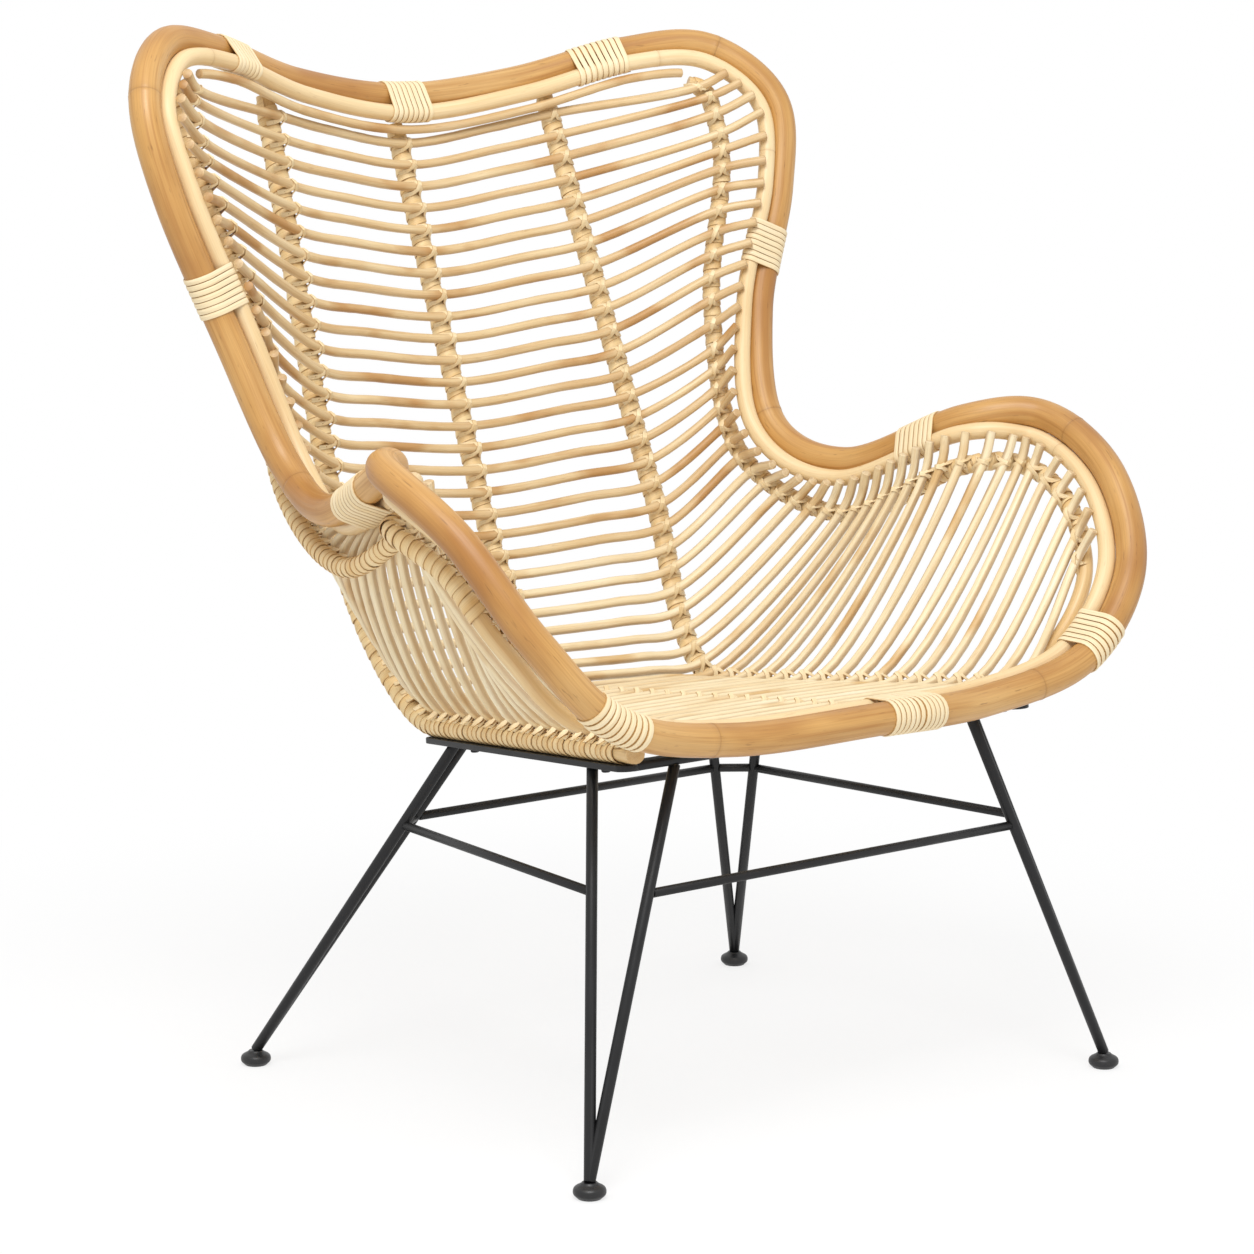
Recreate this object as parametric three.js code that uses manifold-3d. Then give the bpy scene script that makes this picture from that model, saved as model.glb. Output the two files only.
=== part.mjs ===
// A rattan wing chair: a shell of bent poles and round rods on a black steel hairpin base.
// Millimetres, +Z up. The open front faces -Y, and left and right are as seen from the front.
import * as THREE from "three";
import { mergeVertices } from "three/addons/utils/BufferGeometryUtils.js";
import Module from "manifold-3d";

const wasm = await Module();
wasm.setup();

// Diameters of the rattan.
const RIM_DIAMETER = 32;
const HOOP_DIAMETER = 18;
const RIB_DIAMETER = 19;
const ROD_DIAMETER = 9;

// Half widths of the rim, from the middle plane of the chair.
const SHOULDER_HALF_WIDTH = 360;
const WING_HALF_WIDTH = 415;
const WAIST_HALF_WIDTH = 324;
const ARM_HALF_WIDTH = 428;
const FRONT_CORNER_HALF_WIDTH = 302;

// Heights of the rim's centre line above the floor.
const DIP_HEIGHT = 985;
const SHOULDER_HEIGHT = 1040;
const WAIST_HEIGHT = 593;
const ARM_HEIGHT = 654;
const FRONT_HEIGHT = 405;

// Where the rim's centre line lies along the depth of the chair.
const DIP_REACH = 380;
const WING_REACH = 233;
const ARM_REACH = -185;
const FRONT_REACH = -382;

// Rods: how many there are, how many are lashed together, and where the first and last lie.
const ROD_COUNT = 44;
const WING_ROD_COUNT = 14;
const FRONT_ROD_COUNT = 6;
const RODS_PER_GROUP = 4;
const FIRST_ROD_BELOW_RIB_TOP = 26;
const LAST_ROD_FROM_RIB_FRONT = 12;
const FIRST_ROD_STATION = 3;
const WAIST_ROD_STATION = 6.3;
const ARM_ROD_STATION = 9.8;
const LAST_ROD_STATION = 11.8;
const ROD_SPACING_SHARE = 0.4;
const ROD_LEVEL_SHARE = 0.4;
const BACK_BOW = 8;
const LASHING_WIDTH = 3;
const TOP_ROD_LAST_STATION = 2.6;

// Ribs behind and under the rods.
const WING_RIB_REACH = 40;
const WING_RIB_FIRST_STATION = 2.8;
const WING_RIB_LAST_STATION = 12.4;
const INNER_RIB_TOP_STATION = 1.33;
const INNER_RIB_BEND = { x: 214, y: 202, z: 545 };
const CENTRE_RIB_BEND = { x: 0, y: 232, z: 540 };
const RIB_BEND_HANDLE = 75;
const RIB_TOP_BEHIND_HOOP = 28;
const RIB_TOP_BELOW_HOOP = 13;
const RIB_FRONT_BEYOND_BASE = 20;

// Steel base.
const LEG_DIAMETER = 11;
const STRETCHER_DIAMETER = 9;
const CROSS_BAR_DIAMETER = 11;
const RAIL_WIDTH = 24;
const RAIL_THICKNESS = 6;
const RAIL_BACK = { x: 197, y: 52, z: 346 };
const RAIL_FRONT = { x: 256, y: -318, z: 381 };
const FRONT_BAR_FROM_RAIL_END = 4;
const BACK_BAR_FROM_RAIL_END = 4;
const FRONT_LEG_FROM_RAIL_END = 61;
const BACK_LEG_FROM_RAIL_END = 41;
const FRONT_LEG_ON_BAR = 192;
const BACK_LEG_ON_BAR = 160;
const FRONT_FOOT = { x: 340, y: -369 };
const BACK_FOOT = { x: 328, y: 195 };
const FOOT_DIAMETER = 31;
const FOOT_HEIGHT = 15;
const FOOT_BASE_DIAMETER = 24;
const FOOT_NECK_DIAMETER = 15;
const FOOT_WIDEST_SHARE = 0.45;
const STRETCHER_HEIGHT = 262;
const SCREW_SHANK_DIAMETER = 4;
const SCREW_HEAD_DIAMETER = 9;
const SCREW_HEAD_HEIGHT = 4;
const SCREW_HEAD_ROUNDING = 1.5;
const SCREW_DEPTH_IN_RIB = 11;
const SCREW_FROM_RAIL_BACK = 80;
const SCREW_FROM_RAIL_FRONT = 36;

// Cane bindings that hold the rim and the hoop together.
const CANE_WIDTH = 5.6;
const CANE_THICKNESS = 1.5;
const CANE_PITCH = 6.3;
const BINDING_STEPS_ON_RIM = 4;
const BINDING_STEPS_ON_HOOP = 3;

// Clearances.
const TOUCH_GAP = 0.3;
const HOOP_GAP = 0.8;
const POLE_JOINT_GAP = 0.6;
const CANE_GAP = 1;
const ROD_GAP = 0.6;

// Facets of the round sections, and steps along them.
const RIM_SIDES = 8;
const HOOP_SIDES = 6;
const RIB_SIDES = 6;
const ROD_SIDES = 5;
const STEEL_SIDES = 8;
const SCREW_SIDES = 6;
const FOOT_SIDES = 10;
const FOOT_PROFILE_STEPS = 4;
const LASHING_SIDES = 3;
const RAIL_END_STEPS = 4;
const STATION_STEP = 0.1;
const LEAST_STEP = 0.025;
const RIM_MOST_TURN = 0.125;
const RIB_MOST_TURN = 0.06;
const LONGEST_STEP = 70;
const ROD_SPAN_STEPS = [1, 2, 1, 1];

const material = (color, roughness, metalness) =>
  new THREE.MeshStandardMaterial({ color, roughness, metalness });
const FINISHES = {
  rimPole: () => material(0xcf9f5c, 0.45, 0),
  hoopPole: () => material(0xe8cf9f, 0.5, 0),
  rib: () => material(0xdfc08a, 0.6, 0),
  rod: () => material(0xe2c391, 0.5, 0),
  cane: () => material(0xeed9ae, 0.5, 0),
  steel: () => material(0x242425, 0.5, 0.6),
};

const chair = new THREE.Group();
chair.name = "rattan_wing_chair";
const assembly = new THREE.Group();
chair.add(assembly);

function addPiece(name, geometry, finish) {
  const mesh = new THREE.Mesh(geometry, finish());
  mesh.name = name;
  assembly.add(mesh);
  return mesh;
}

const UP = new THREE.Vector3(0, 0, 1);
const ACROSS = new THREE.Vector3(1, 0, 0);
const LATHE_AXIS = new THREE.Vector3(0, 1, 0);
const vector = (p) => new THREE.Vector3(p.x, p.y, p.z);
const mirrored = (p) => new THREE.Vector3(-p.x, p.y, p.z);
const SIDES = { right: vector, left: mirrored };
const along = (from, direction, distance) => from.clone().addScaledVector(direction, distance);

// Joins and cuts of closed geometries.
function solidOf(geometry) {
  const plain = geometry.clone();
  plain.deleteAttribute("normal");
  plain.deleteAttribute("uv");
  const merged = mergeVertices(plain, 1e-4);
  const mesh = new wasm.Mesh({
    numProp: 3,
    vertProperties: merged.attributes.position.array,
    triVerts: new Uint32Array(merged.index.array),
  });
  return new wasm.Manifold(mesh);
}

function geometryOf(solid) {
  const mesh = solid.getMesh();
  const geometry = new THREE.BufferGeometry();
  geometry.setAttribute("position", new THREE.BufferAttribute(mesh.vertProperties, 3));
  geometry.setIndex(new THREE.BufferAttribute(mesh.triVerts, 1));
  geometry.computeVertexNormals();
  return geometry;
}

const cut = (geometry, tools) =>
  geometryOf(tools.reduce((solid, tool) => solid.subtract(solidOf(tool)), solidOf(geometry)));
const join = (geometries) =>
  geometryOf(geometries.map(solidOf).reduce((whole, solid) => whole.add(solid)));

// Mirrors a geometry to the left half, keeping its faces outward.
function leftCopy(geometry) {
  const copy = geometry.index ? geometry.toNonIndexed() : geometry.clone();
  copy.scale(-1, 1, 1);
  const position = copy.getAttribute("position");
  const second = new THREE.Vector3();
  const third = new THREE.Vector3();
  for (let i = 0; i < position.count; i += 3) {
    second.fromBufferAttribute(position, i + 1);
    third.fromBufferAttribute(position, i + 2);
    position.setXYZ(i + 1, third.x, third.y, third.z);
    position.setXYZ(i + 2, second.x, second.y, second.z);
  }
  copy.computeVertexNormals();
  return copy;
}

function addPair(name, geometry, finish) {
  addPiece(`${name}_right`, geometry, finish);
  addPiece(`${name}_left`, leftCopy(geometry), finish);
}

// A path over a parametric line whose steps fall on chosen stops of its parameter.
class StopPath extends THREE.Curve {
  constructor(place, stops) {
    super();
    this.place = place;
    this.stops = stops;
    this.steps = stops.length - 1;
  }

  getPoint(t, target = new THREE.Vector3()) {
    const where = t * this.steps;
    const stop = Math.min(Math.floor(where), this.steps - 1);
    const share = where - stop;
    return target.copy(this.place(THREE.MathUtils.lerp(this.stops[stop], this.stops[stop + 1], share)));
  }

  getUtoTmapping(u) {
    return u;
  }
}

// The stretch of a parametric line from one value of its parameter to another.
class StretchPath extends THREE.Curve {
  constructor(place, from, to) {
    super();
    this.place = place;
    this.from = from;
    this.to = to;
  }

  getPoint(t, target = new THREE.Vector3()) {
    return target.copy(this.place(THREE.MathUtils.lerp(this.from, this.to, t)));
  }
}

// The change of place per unit of a line's parameter.
function velocity(place, at) {
  const nearby = 1e-3;
  return place(at + nearby).sub(place(at - nearby)).divideScalar(2 * nearby);
}

// Keeps the stops of a line where it has turned or run on enough since the last kept stop.
function bendStops(place, candidates, mostTurn) {
  const kept = [candidates[0]];
  let from = place(kept[0]);
  let heading = velocity(place, kept[0]);
  for (const stop of candidates.slice(1, -1)) {
    const here = place(stop);
    const turned = velocity(place, stop).angleTo(heading);
    if (turned > mostTurn || here.distanceTo(from) > LONGEST_STEP) {
      kept.push(stop);
      from = here;
      heading = velocity(place, stop);
    }
  }
  return [...kept, candidates.at(-1)];
}

function roundSection(diameter, sides) {
  const corners = [];
  for (let i = 0; i < sides; i++) {
    const angle = (2 * Math.PI * i) / sides;
    corners.push(new THREE.Vector2(Math.cos(angle), Math.sin(angle)).multiplyScalar(diameter / 2));
  }
  return new THREE.Shape(corners);
}

const tube = (path, section, steps = path.steps) =>
  new THREE.ExtrudeGeometry(section, { extrudePath: path, steps, bevelEnabled: false });
const straightRod = (from, to, diameter) =>
  tube(new THREE.LineCurve3(from, to), roundSection(diameter, STEEL_SIDES), 1);

// The rim's sizes on the right half, from the dip in the top round to the middle of the front.
const HALF_WIDTHS = [
  0,
  SHOULDER_HALF_WIDTH,
  WING_HALF_WIDTH,
  WAIST_HALF_WIDTH,
  ARM_HALF_WIDTH,
  FRONT_CORNER_HALF_WIDTH,
  0,
];
const REACHES = [DIP_REACH, WING_REACH, ARM_REACH, FRONT_REACH];
const HEIGHTS = [DIP_HEIGHT, SHOULDER_HEIGHT, WAIST_HEIGHT, ARM_HEIGHT, FRONT_HEIGHT];

// A place in a list of sizes: 1.5 is halfway from the second size to the third.
function sizeAt(sizes, place) {
  const span = Math.min(Math.floor(place), sizes.length - 2);
  return THREE.MathUtils.lerp(sizes[span], sizes[span + 1], place - span);
}

// The rim's centre line on the right half, with each station's place in the three lists.
// Each also has the way from the rim to the hoop, and from the rim to the wing rib.
const RIM_STATIONS = [
  { width: 0, reach: 0, height: 0, into: [0, -0.74, -0.67], rib: [0, -0.5, -0.875] },
  { width: 0.403, reach: 0.088, height: 0.309, into: [-0.06, -0.84, -0.54], rib: [0, -0.5, -0.875] },
  { width: 0.75, reach: 0.361, height: 0.909, into: [-0.23, -0.84, -0.5], rib: [0, -0.45, -0.9] },
  { width: 1, reach: 0.646, height: 1, into: [-0.57, -0.52, -0.64], rib: [-0.5, -0.15, -1.1] },
  { width: 2, reach: 1, height: 1.13, into: [-0.97, -0.09, -0.22], rib: [-1.6, 0.625, -0.725] },
  { width: 2.143, reach: 1.057, height: 1.349, into: [-0.95, -0.14, 0.29], rib: [-1.45, 0.8, 0.25] },
  { width: 2.692, reach: 1.112, height: 1.649, into: [-0.94, -0.09, 0.32], rib: [-1.15, 0.675, 0.15] },
  { width: 3, reach: 1.244, height: 1.922, into: [-0.9, 0.1, -0.1], rib: [-0.5, 0.8, -0.8] },
  { width: 3.183, reach: 1.493, height: 2, into: [-0.75, -0.1, -0.65], rib: [-0.3, -0.175, -1.4] },
  { width: 3.49, reach: 1.835, height: 2.902, into: [-0.73, -0.4, -0.55], rib: [-0.5, -0.4, -1.2] },
  { width: 4, reach: 2, height: 3, into: [-0.45, 0.3, -0.8], rib: [-0.35, 0.3, -1.35] },
  { width: 4.048, reach: 2.503, height: 3.205, into: [-0.5, 0.75, -0.45], rib: [-0.45, 0.95, -0.975] },
  { width: 4.341, reach: 2.838, height: 3.566, into: [-0.55, 0.8, 0.1], rib: [-0.275, 1.35, -0.45] },
  { width: 5, reach: 2.924, height: 3.892, into: [-0.35, 0.9, 0.2], rib: [-0.1, 1.425, 0] },
  { width: 5.454, reach: 2.919, height: 4.008, into: [-0.1, 0.95, 0.25], rib: [0, 1.425, 0] },
  { width: 6, reach: 3, height: 4, into: [0, 0.95, 0.25], rib: [0, 1.425, 0] },
];
const rimPoint = ({ width, reach, height }) =>
  new THREE.Vector3(sizeAt(HALF_WIDTHS, width), sizeAt(REACHES, reach), sizeAt(HEIGHTS, height));
const FRONT_STATION = RIM_STATIONS.length - 1;
const STATIONS_ROUND = 2 * FRONT_STATION;
const leftStation = (station) => STATIONS_ROUND - station;

function closedLine(pointOf) {
  const right = RIM_STATIONS.map(pointOf);
  const left = right.slice(1, FRONT_STATION).reverse().map(mirrored);
  return new THREE.CatmullRomCurve3([...right, ...left], true, "catmullrom", 0.5);
}

const rimLine = closedLine(rimPoint);
const intoLine = closedLine((station) => new THREE.Vector3(...station.into));
const wingRibOffset = closedLine(({ rib }) =>
  new THREE.Vector3(...rib).multiplyScalar(WING_RIB_REACH),
);
const lapShare = (station) => THREE.MathUtils.euclideanModulo(station, STATIONS_ROUND) / STATIONS_ROUND;

// The rim's centre at a station, with the way along it, to the hoop, and towards the sitter.
function rimFrame(station) {
  const t = lapShare(station);
  const centre = rimLine.getPoint(t);
  const tangent = rimLine.getTangent(t);
  const into = intoLine.getPoint(t);
  into.addScaledVector(tangent, -into.dot(tangent)).normalize();
  const facing = new THREE.Vector3().crossVectors(into, tangent);
  return { centre, tangent, into, facing };
}

const HOOP_INSET = (RIM_DIAMETER + HOOP_DIAMETER) / 2 + HOOP_GAP;
const rimPlace = (station) => rimFrame(station).centre;
function hoopPlace(station) {
  const frame = rimFrame(station);
  return along(frame.centre, frame.into, HOOP_INSET);
}
const wingRibPlace = (station) => rimPlace(station).add(wingRibOffset.getPoint(lapShare(station)));

// Bindings: the station where each sits on the rim, and its turns.
const BINDINGS = [
  { name: "binding_top_centre", station: 0, turns: 8 },
  { name: "binding_top_right", station: 1.74, turns: 9 },
  { name: "binding_top_left", station: leftStation(1.82), turns: 7 },
  { name: "binding_wing_right", station: 5.53, turns: 8 },
  { name: "binding_wing_left", station: leftStation(5.67), turns: 7 },
  { name: "binding_arm_right", station: 8.66, turns: 8 },
  { name: "binding_arm_left", station: leftStation(8.45), turns: 9 },
  { name: "binding_front_right", station: 12.8, turns: 7 },
  { name: "binding_front_left", station: leftStation(12.95), turns: 9 },
  { name: "binding_front", station: 14.71, turns: 11 },
];
const bindingStation = (name) => BINDINGS.find((binding) => binding.name === name).station;

// Outer rim: one pole over the back and two round the arms, butted under three of the bindings.
// The rim and the hoop step at the same stations, so that their facets keep apart.
function pole(name, place, from, to, diameter, sides, finish) {
  const start = from + POLE_JOINT_GAP / 2 / velocity(place, from).length();
  const end = to - POLE_JOINT_GAP / 2 / velocity(place, to).length();
  const inside = RIM_STOPS.filter((stop) => stop > start + LEAST_STEP && stop < end - LEAST_STEP);
  const path = new StopPath(place, [start, ...inside, end]);
  addPiece(name, tube(path, roundSection(diameter, sides)), finish);
}

function rimStops() {
  const candidates = [];
  for (let i = 0; i <= FRONT_STATION / STATION_STEP; i++) {
    candidates.push(i * STATION_STEP);
  }
  const right = bendStops(rimPlace, candidates, RIM_MOST_TURN);
  const left = right.map(leftStation).reverse();
  const round = [...right, ...left.slice(1)];
  return [...round.map((stop) => stop - STATIONS_ROUND), ...round.slice(1)];
}

const RIM_STOPS = rimStops();
const rightJoint = bindingStation("binding_arm_right");
const leftJoint = bindingStation("binding_arm_left");
const frontJoint = bindingStation("binding_front");
const rimPole = (name, from, to) =>
  pole(name, rimPlace, from, to, RIM_DIAMETER, RIM_SIDES, FINISHES.rimPole);
rimPole("rim_back_pole", leftJoint - STATIONS_ROUND, rightJoint);
rimPole("rim_arm_pole_right", rightJoint, frontJoint);
rimPole("rim_arm_pole_left", frontJoint, leftJoint);

// Inner hoop: two poles that meet under the top and the front binding.
const hoopPole = (name, from, to) =>
  pole(name, hoopPlace, from, to, HOOP_DIAMETER, HOOP_SIDES, FINISHES.hoopPole);
hoopPole("hoop_pole_right", 0, frontJoint);
hoopPole("hoop_pole_left", frontJoint, STATIONS_ROUND);

// One turn of cane round the rim and the hoop: two arcs and the straight runs between them.
// The arcs stand off far enough for the middle of each step to clear the pole.
function turnArc(radius, middle, from, to, steps) {
  const step = (to - from) / steps;
  const reach = (radius + CANE_GAP) / Math.cos(step / 2) + CANE_THICKNESS / 2;
  const points = [];
  for (let i = 0; i <= steps; i++) {
    const angle = from + step * i;
    const normal = new THREE.Vector2(Math.cos(angle), Math.sin(angle));
    points.push({ normal, place: new THREE.Vector2(middle, 0).addScaledVector(normal, reach) });
  }
  return points;
}

const lean = Math.asin((RIM_DIAMETER - HOOP_DIAMETER) / 2 / HOOP_INSET);
const half = Math.PI / 2 - lean;
const RIM_TURN = turnArc(RIM_DIAMETER / 2, 0, half, 2 * Math.PI - half, BINDING_STEPS_ON_RIM);
const HOOP_TURN = turnArc(HOOP_DIAMETER / 2, HOOP_INSET, -half, half, BINDING_STEPS_ON_HOOP);
const TURN = [...RIM_TURN, ...HOOP_TURN];
const CANE_OVER_HOOP = HOOP_TURN.at(-1).place.y + CANE_THICKNESS / 2;

// A point of a turn round the rim at a station.
function onBinding(station, point) {
  const frame = rimFrame(station);
  return along(along(frame.centre, frame.into, point.x), frame.facing, point.y);
}

// How far a turn moves per station where it moves least, which is on the inside of a bend.
const leastReach = (station) =>
  Math.min(...TURN.map((at) => velocity((each) => onBinding(each, at.place), station).length()));

// A binding: one unbroken strip of cane wound round the rim and the hoop.
function bindingStrip(middle, turns) {
  const advance = CANE_PITCH / TURN.length;
  const count = turns * TURN.length;
  let station = middle - (turns * CANE_PITCH) / 2 / leastReach(middle);
  const rings = [];
  for (let i = 0; i <= count; i++) {
    const { place, normal } = TURN[i % TURN.length];
    const { tangent } = rimFrame(station);
    const centre = onBinding(station, place);
    const outward = onBinding(station, place.clone().add(normal)).sub(centre);
    const corner = (side, face) =>
      along(along(centre, tangent, (side * CANE_WIDTH) / 2), outward, (face * CANE_THICKNESS) / 2);
    rings.push([corner(1, 1), corner(1, -1), corner(-1, -1), corner(-1, 1)]);
    station += advance / leastReach(station);
  }
  return rings;
}

// A closed strip from its rings of corners.
function stripGeometry(rings) {
  const sides = rings[0].length;
  const positions = rings.flat().flatMap((p) => [p.x, p.y, p.z]);
  const faces = [];
  for (let i = 0; i + 1 < rings.length; i++) {
    for (let j = 0; j < sides; j++) {
      const a = i * sides + j;
      const b = i * sides + ((j + 1) % sides);
      faces.push(a, b, a + sides, b, b + sides, a + sides);
    }
  }
  const last = (rings.length - 1) * sides;
  for (let j = 1; j + 1 < sides; j++) {
    faces.push(0, j + 1, j, last, last + j, last + j + 1);
  }
  const geometry = new THREE.BufferGeometry();
  geometry.setAttribute("position", new THREE.Float32BufferAttribute(positions, 3));
  geometry.setIndex(faces);
  geometry.computeVertexNormals();
  return geometry;
}

// The least gap of a strip to its next turn, measured between the facing edges of both.
function leastGap(rings) {
  let least = Infinity;
  for (let i = 0; i + TURN.length < rings.length; i++) {
    const next = rings[i + TURN.length];
    least = Math.min(least, rings[i][0].distanceTo(next[3]), rings[i][1].distanceTo(next[2]));
  }
  return least;
}

for (const binding of BINDINGS) {
  const rings = bindingStrip(binding.station, binding.turns);
  addPiece(binding.name, stripGeometry(rings), FINISHES.cane);
  console.log(binding.name, "least gap between turns", leastGap(rings).toFixed(2), "mm");
}

// Side rails of the base: flat bars under the inner ribs, rising to the front.
const railBack = vector(RAIL_BACK);
const railFront = vector(RAIL_FRONT);
const railLength = railFront.distanceTo(railBack);
const railForward = railFront.clone().sub(railBack).normalize();
const railUp = along(UP, railForward, -railForward.z).normalize();
const railAcross = new THREE.Vector3().crossVectors(railUp, railForward);

function railBar(margin, thickness) {
  const reach = RAIL_WIDTH / 2 + margin;
  const outline = new THREE.Shape();
  outline.moveTo(0, -reach);
  outline.lineTo(railLength, -reach);
  outline.absarc(railLength, 0, reach, -Math.PI / 2, Math.PI / 2);
  outline.lineTo(0, reach);
  outline.absarc(0, 0, reach, Math.PI / 2, (3 * Math.PI) / 2);
  const flat = { depth: thickness, bevelEnabled: false, curveSegments: RAIL_END_STEPS };
  const bar = new THREE.ExtrudeGeometry(outline, flat).translate(0, 0, -thickness / 2);
  bar.applyMatrix4(new THREE.Matrix4().makeBasis(railForward, railAcross, railUp));
  return bar.translate(railBack.x, railBack.y, railBack.z);
}

// Screws from below, through each rail and into the rib on it.
const screwPlaces = {
  back: along(railBack, railForward, SCREW_FROM_RAIL_BACK),
  front: along(railFront, railForward, -SCREW_FROM_RAIL_FRONT),
};
const screwHoles = Object.values(screwPlaces).map((place) => {
  const low = along(place, railUp, -RAIL_THICKNESS);
  const high = along(place, railUp, RAIL_THICKNESS / 2 + SCREW_DEPTH_IN_RIB + 2 * TOUCH_GAP);
  return straightRod(low, high, SCREW_SHANK_DIAMETER + 2 * TOUCH_GAP);
});

// Half of a screw's outline, from the middle of the head up to the tip of the shank.
function screwGeometry() {
  const shankTop = RAIL_THICKNESS / 2 + SCREW_DEPTH_IN_RIB;
  const headTop = -RAIL_THICKNESS / 2 - TOUCH_GAP;
  const headEdge = SCREW_HEAD_DIAMETER / 2;
  const profile = [
    new THREE.Vector2(0, headTop - SCREW_HEAD_HEIGHT),
    new THREE.Vector2(headEdge - SCREW_HEAD_ROUNDING, headTop - SCREW_HEAD_HEIGHT),
    new THREE.Vector2(headEdge, headTop - SCREW_HEAD_HEIGHT + SCREW_HEAD_ROUNDING),
    new THREE.Vector2(headEdge, headTop),
    new THREE.Vector2(SCREW_SHANK_DIAMETER / 2, headTop),
    new THREE.Vector2(SCREW_SHANK_DIAMETER / 2, shankTop),
    new THREE.Vector2(0, shankTop),
  ];
  return new THREE.LatheGeometry(profile, SCREW_SIDES);
}

addPair("side_rail", cut(railBar(0, RAIL_THICKNESS), screwHoles), FINISHES.steel);
for (const [end, place] of Object.entries(screwPlaces)) {
  for (const [side, mirror] of Object.entries(SIDES)) {
    const screw = addPiece(`rail_screw_${end}_${side}`, screwGeometry(), FINISHES.steel);
    screw.position.copy(mirror(place));
    screw.quaternion.setFromUnitVectors(LATHE_AXIS, mirror(railUp));
  }
}

// Cross bars: round bars between the rails, which also carry the centre rib.
const barEnds = {
  back: along(railBack, railForward, BACK_BAR_FROM_RAIL_END),
  front: along(railFront, railForward, -FRONT_BAR_FROM_RAIL_END),
};
const besideRail = railBar(TOUCH_GAP, 2 * CROSS_BAR_DIAMETER);
const besideRails = [besideRail, leftCopy(besideRail)];
for (const [end, place] of Object.entries(barEnds)) {
  const bar = straightRod(mirrored(place), place, CROSS_BAR_DIAMETER);
  addPiece(`${end}_cross_bar`, cut(bar, besideRails), FINISHES.steel);
}

// Hairpin legs: two runs of one rod from each foot, one to the rail and one to the cross bar.
const LEGS = {
  front: {
    foot: FRONT_FOOT,
    railTop: along(railFront, railForward, -FRONT_LEG_FROM_RAIL_END),
    barTop: barEnds.front.clone().setX(FRONT_LEG_ON_BAR),
    bar: barEnds.front,
  },
  back: {
    foot: BACK_FOOT,
    railTop: along(railBack, railForward, BACK_LEG_FROM_RAIL_END),
    barTop: barEnds.back.clone().setX(BACK_LEG_ON_BAR),
    bar: barEnds.back,
  },
};
// The legs run on a little into the feet, and are cut off flat on top of them.
const legBottom = (leg) => new THREE.Vector3(leg.foot.x, leg.foot.y, FOOT_HEIGHT - LEG_DIAMETER / 2);
const legRun = (leg, top, margin) => straightRod(legBottom(leg), top, LEG_DIAMETER + 2 * margin);

function footGeometry() {
  const widest = FOOT_HEIGHT * FOOT_WIDEST_SHARE;
  const profile = [new THREE.Vector2(0, 0), new THREE.Vector2(FOOT_BASE_DIAMETER / 2, 0)];
  const below = new THREE.SplineCurve([
    new THREE.Vector2(FOOT_BASE_DIAMETER / 2, 0),
    new THREE.Vector2(FOOT_DIAMETER / 2, widest),
    new THREE.Vector2(FOOT_NECK_DIAMETER / 2, FOOT_HEIGHT),
  ]);
  profile.push(...below.getPoints(FOOT_PROFILE_STEPS).slice(1));
  profile.push(new THREE.Vector2(0, FOOT_HEIGHT));
  return new THREE.LatheGeometry(profile, FOOT_SIDES).rotateX(Math.PI / 2);
}

for (const [end, leg] of Object.entries(LEGS)) {
  const runs = [legRun(leg, leg.railTop, 0), legRun(leg, leg.barTop, 0)];
  const blockHeight = 2 * LEG_DIAMETER;
  const block = new THREE.CylinderGeometry(FOOT_DIAMETER, FOOT_DIAMETER, blockHeight, FOOT_SIDES);
  block.rotateX(Math.PI / 2);
  block.translate(leg.foot.x, leg.foot.y, FOOT_HEIGHT + TOUCH_GAP - blockHeight / 2);
  const bar = straightRod(mirrored(leg.bar), leg.bar, CROSS_BAR_DIAMETER + 2 * TOUCH_GAP);
  const rail = railBar(TOUCH_GAP, RAIL_THICKNESS + 2 * TOUCH_GAP);
  addPair(`hairpin_leg_${end}`, cut(join(runs), [block, bar, rail]), FINISHES.steel);
  for (const [side, mirror] of Object.entries(SIDES)) {
    const puck = addPiece(`foot_${end}_${side}`, footGeometry(), FINISHES.steel);
    puck.position.copy(mirror(legBottom(leg))).setZ(0);
  }
}

// Stretchers between neighbouring legs, and a link across the two runs of each back leg.
function stretcherEnd(leg, top) {
  const bottom = legBottom(leg);
  const joint = bottom.clone().lerp(top, (STRETCHER_HEIGHT - bottom.z) / (top.z - bottom.z));
  return { joint, clear: legRun(leg, top, TOUCH_GAP) };
}
const onRail = {
  front: stretcherEnd(LEGS.front, LEGS.front.railTop),
  back: stretcherEnd(LEGS.back, LEGS.back.railTop),
};
const onBar = {
  front: stretcherEnd(LEGS.front, LEGS.front.barTop),
  back: stretcherEnd(LEGS.back, LEGS.back.barTop),
};
const between = (one, other) =>
  cut(straightRod(one.joint, other.joint, STRETCHER_DIAMETER), [one.clear, other.clear]);
addPair("side_stretcher", between(onRail.back, onRail.front), FINISHES.steel);
addPair("back_leg_link", between(onBar.back, onRail.back), FINISHES.steel);
for (const [end, run] of Object.entries(onBar)) {
  const left = { joint: mirrored(run.joint), clear: leftCopy(run.clear) };
  addPiece(`${end}_stretcher`, between(left, run), FINISHES.steel);
}

// Ribs under the rods. The centre and inner ribs run down the back, bend, and run forward under the seat.
const RIB_TOP_FROM_HOOP = new THREE.Vector3(0, RIB_TOP_BEHIND_HOOP, -RIB_TOP_BELOW_HOOP);
const ribTop = (station) => hoopPlace(station).add(RIB_TOP_FROM_HOOP);

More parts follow.
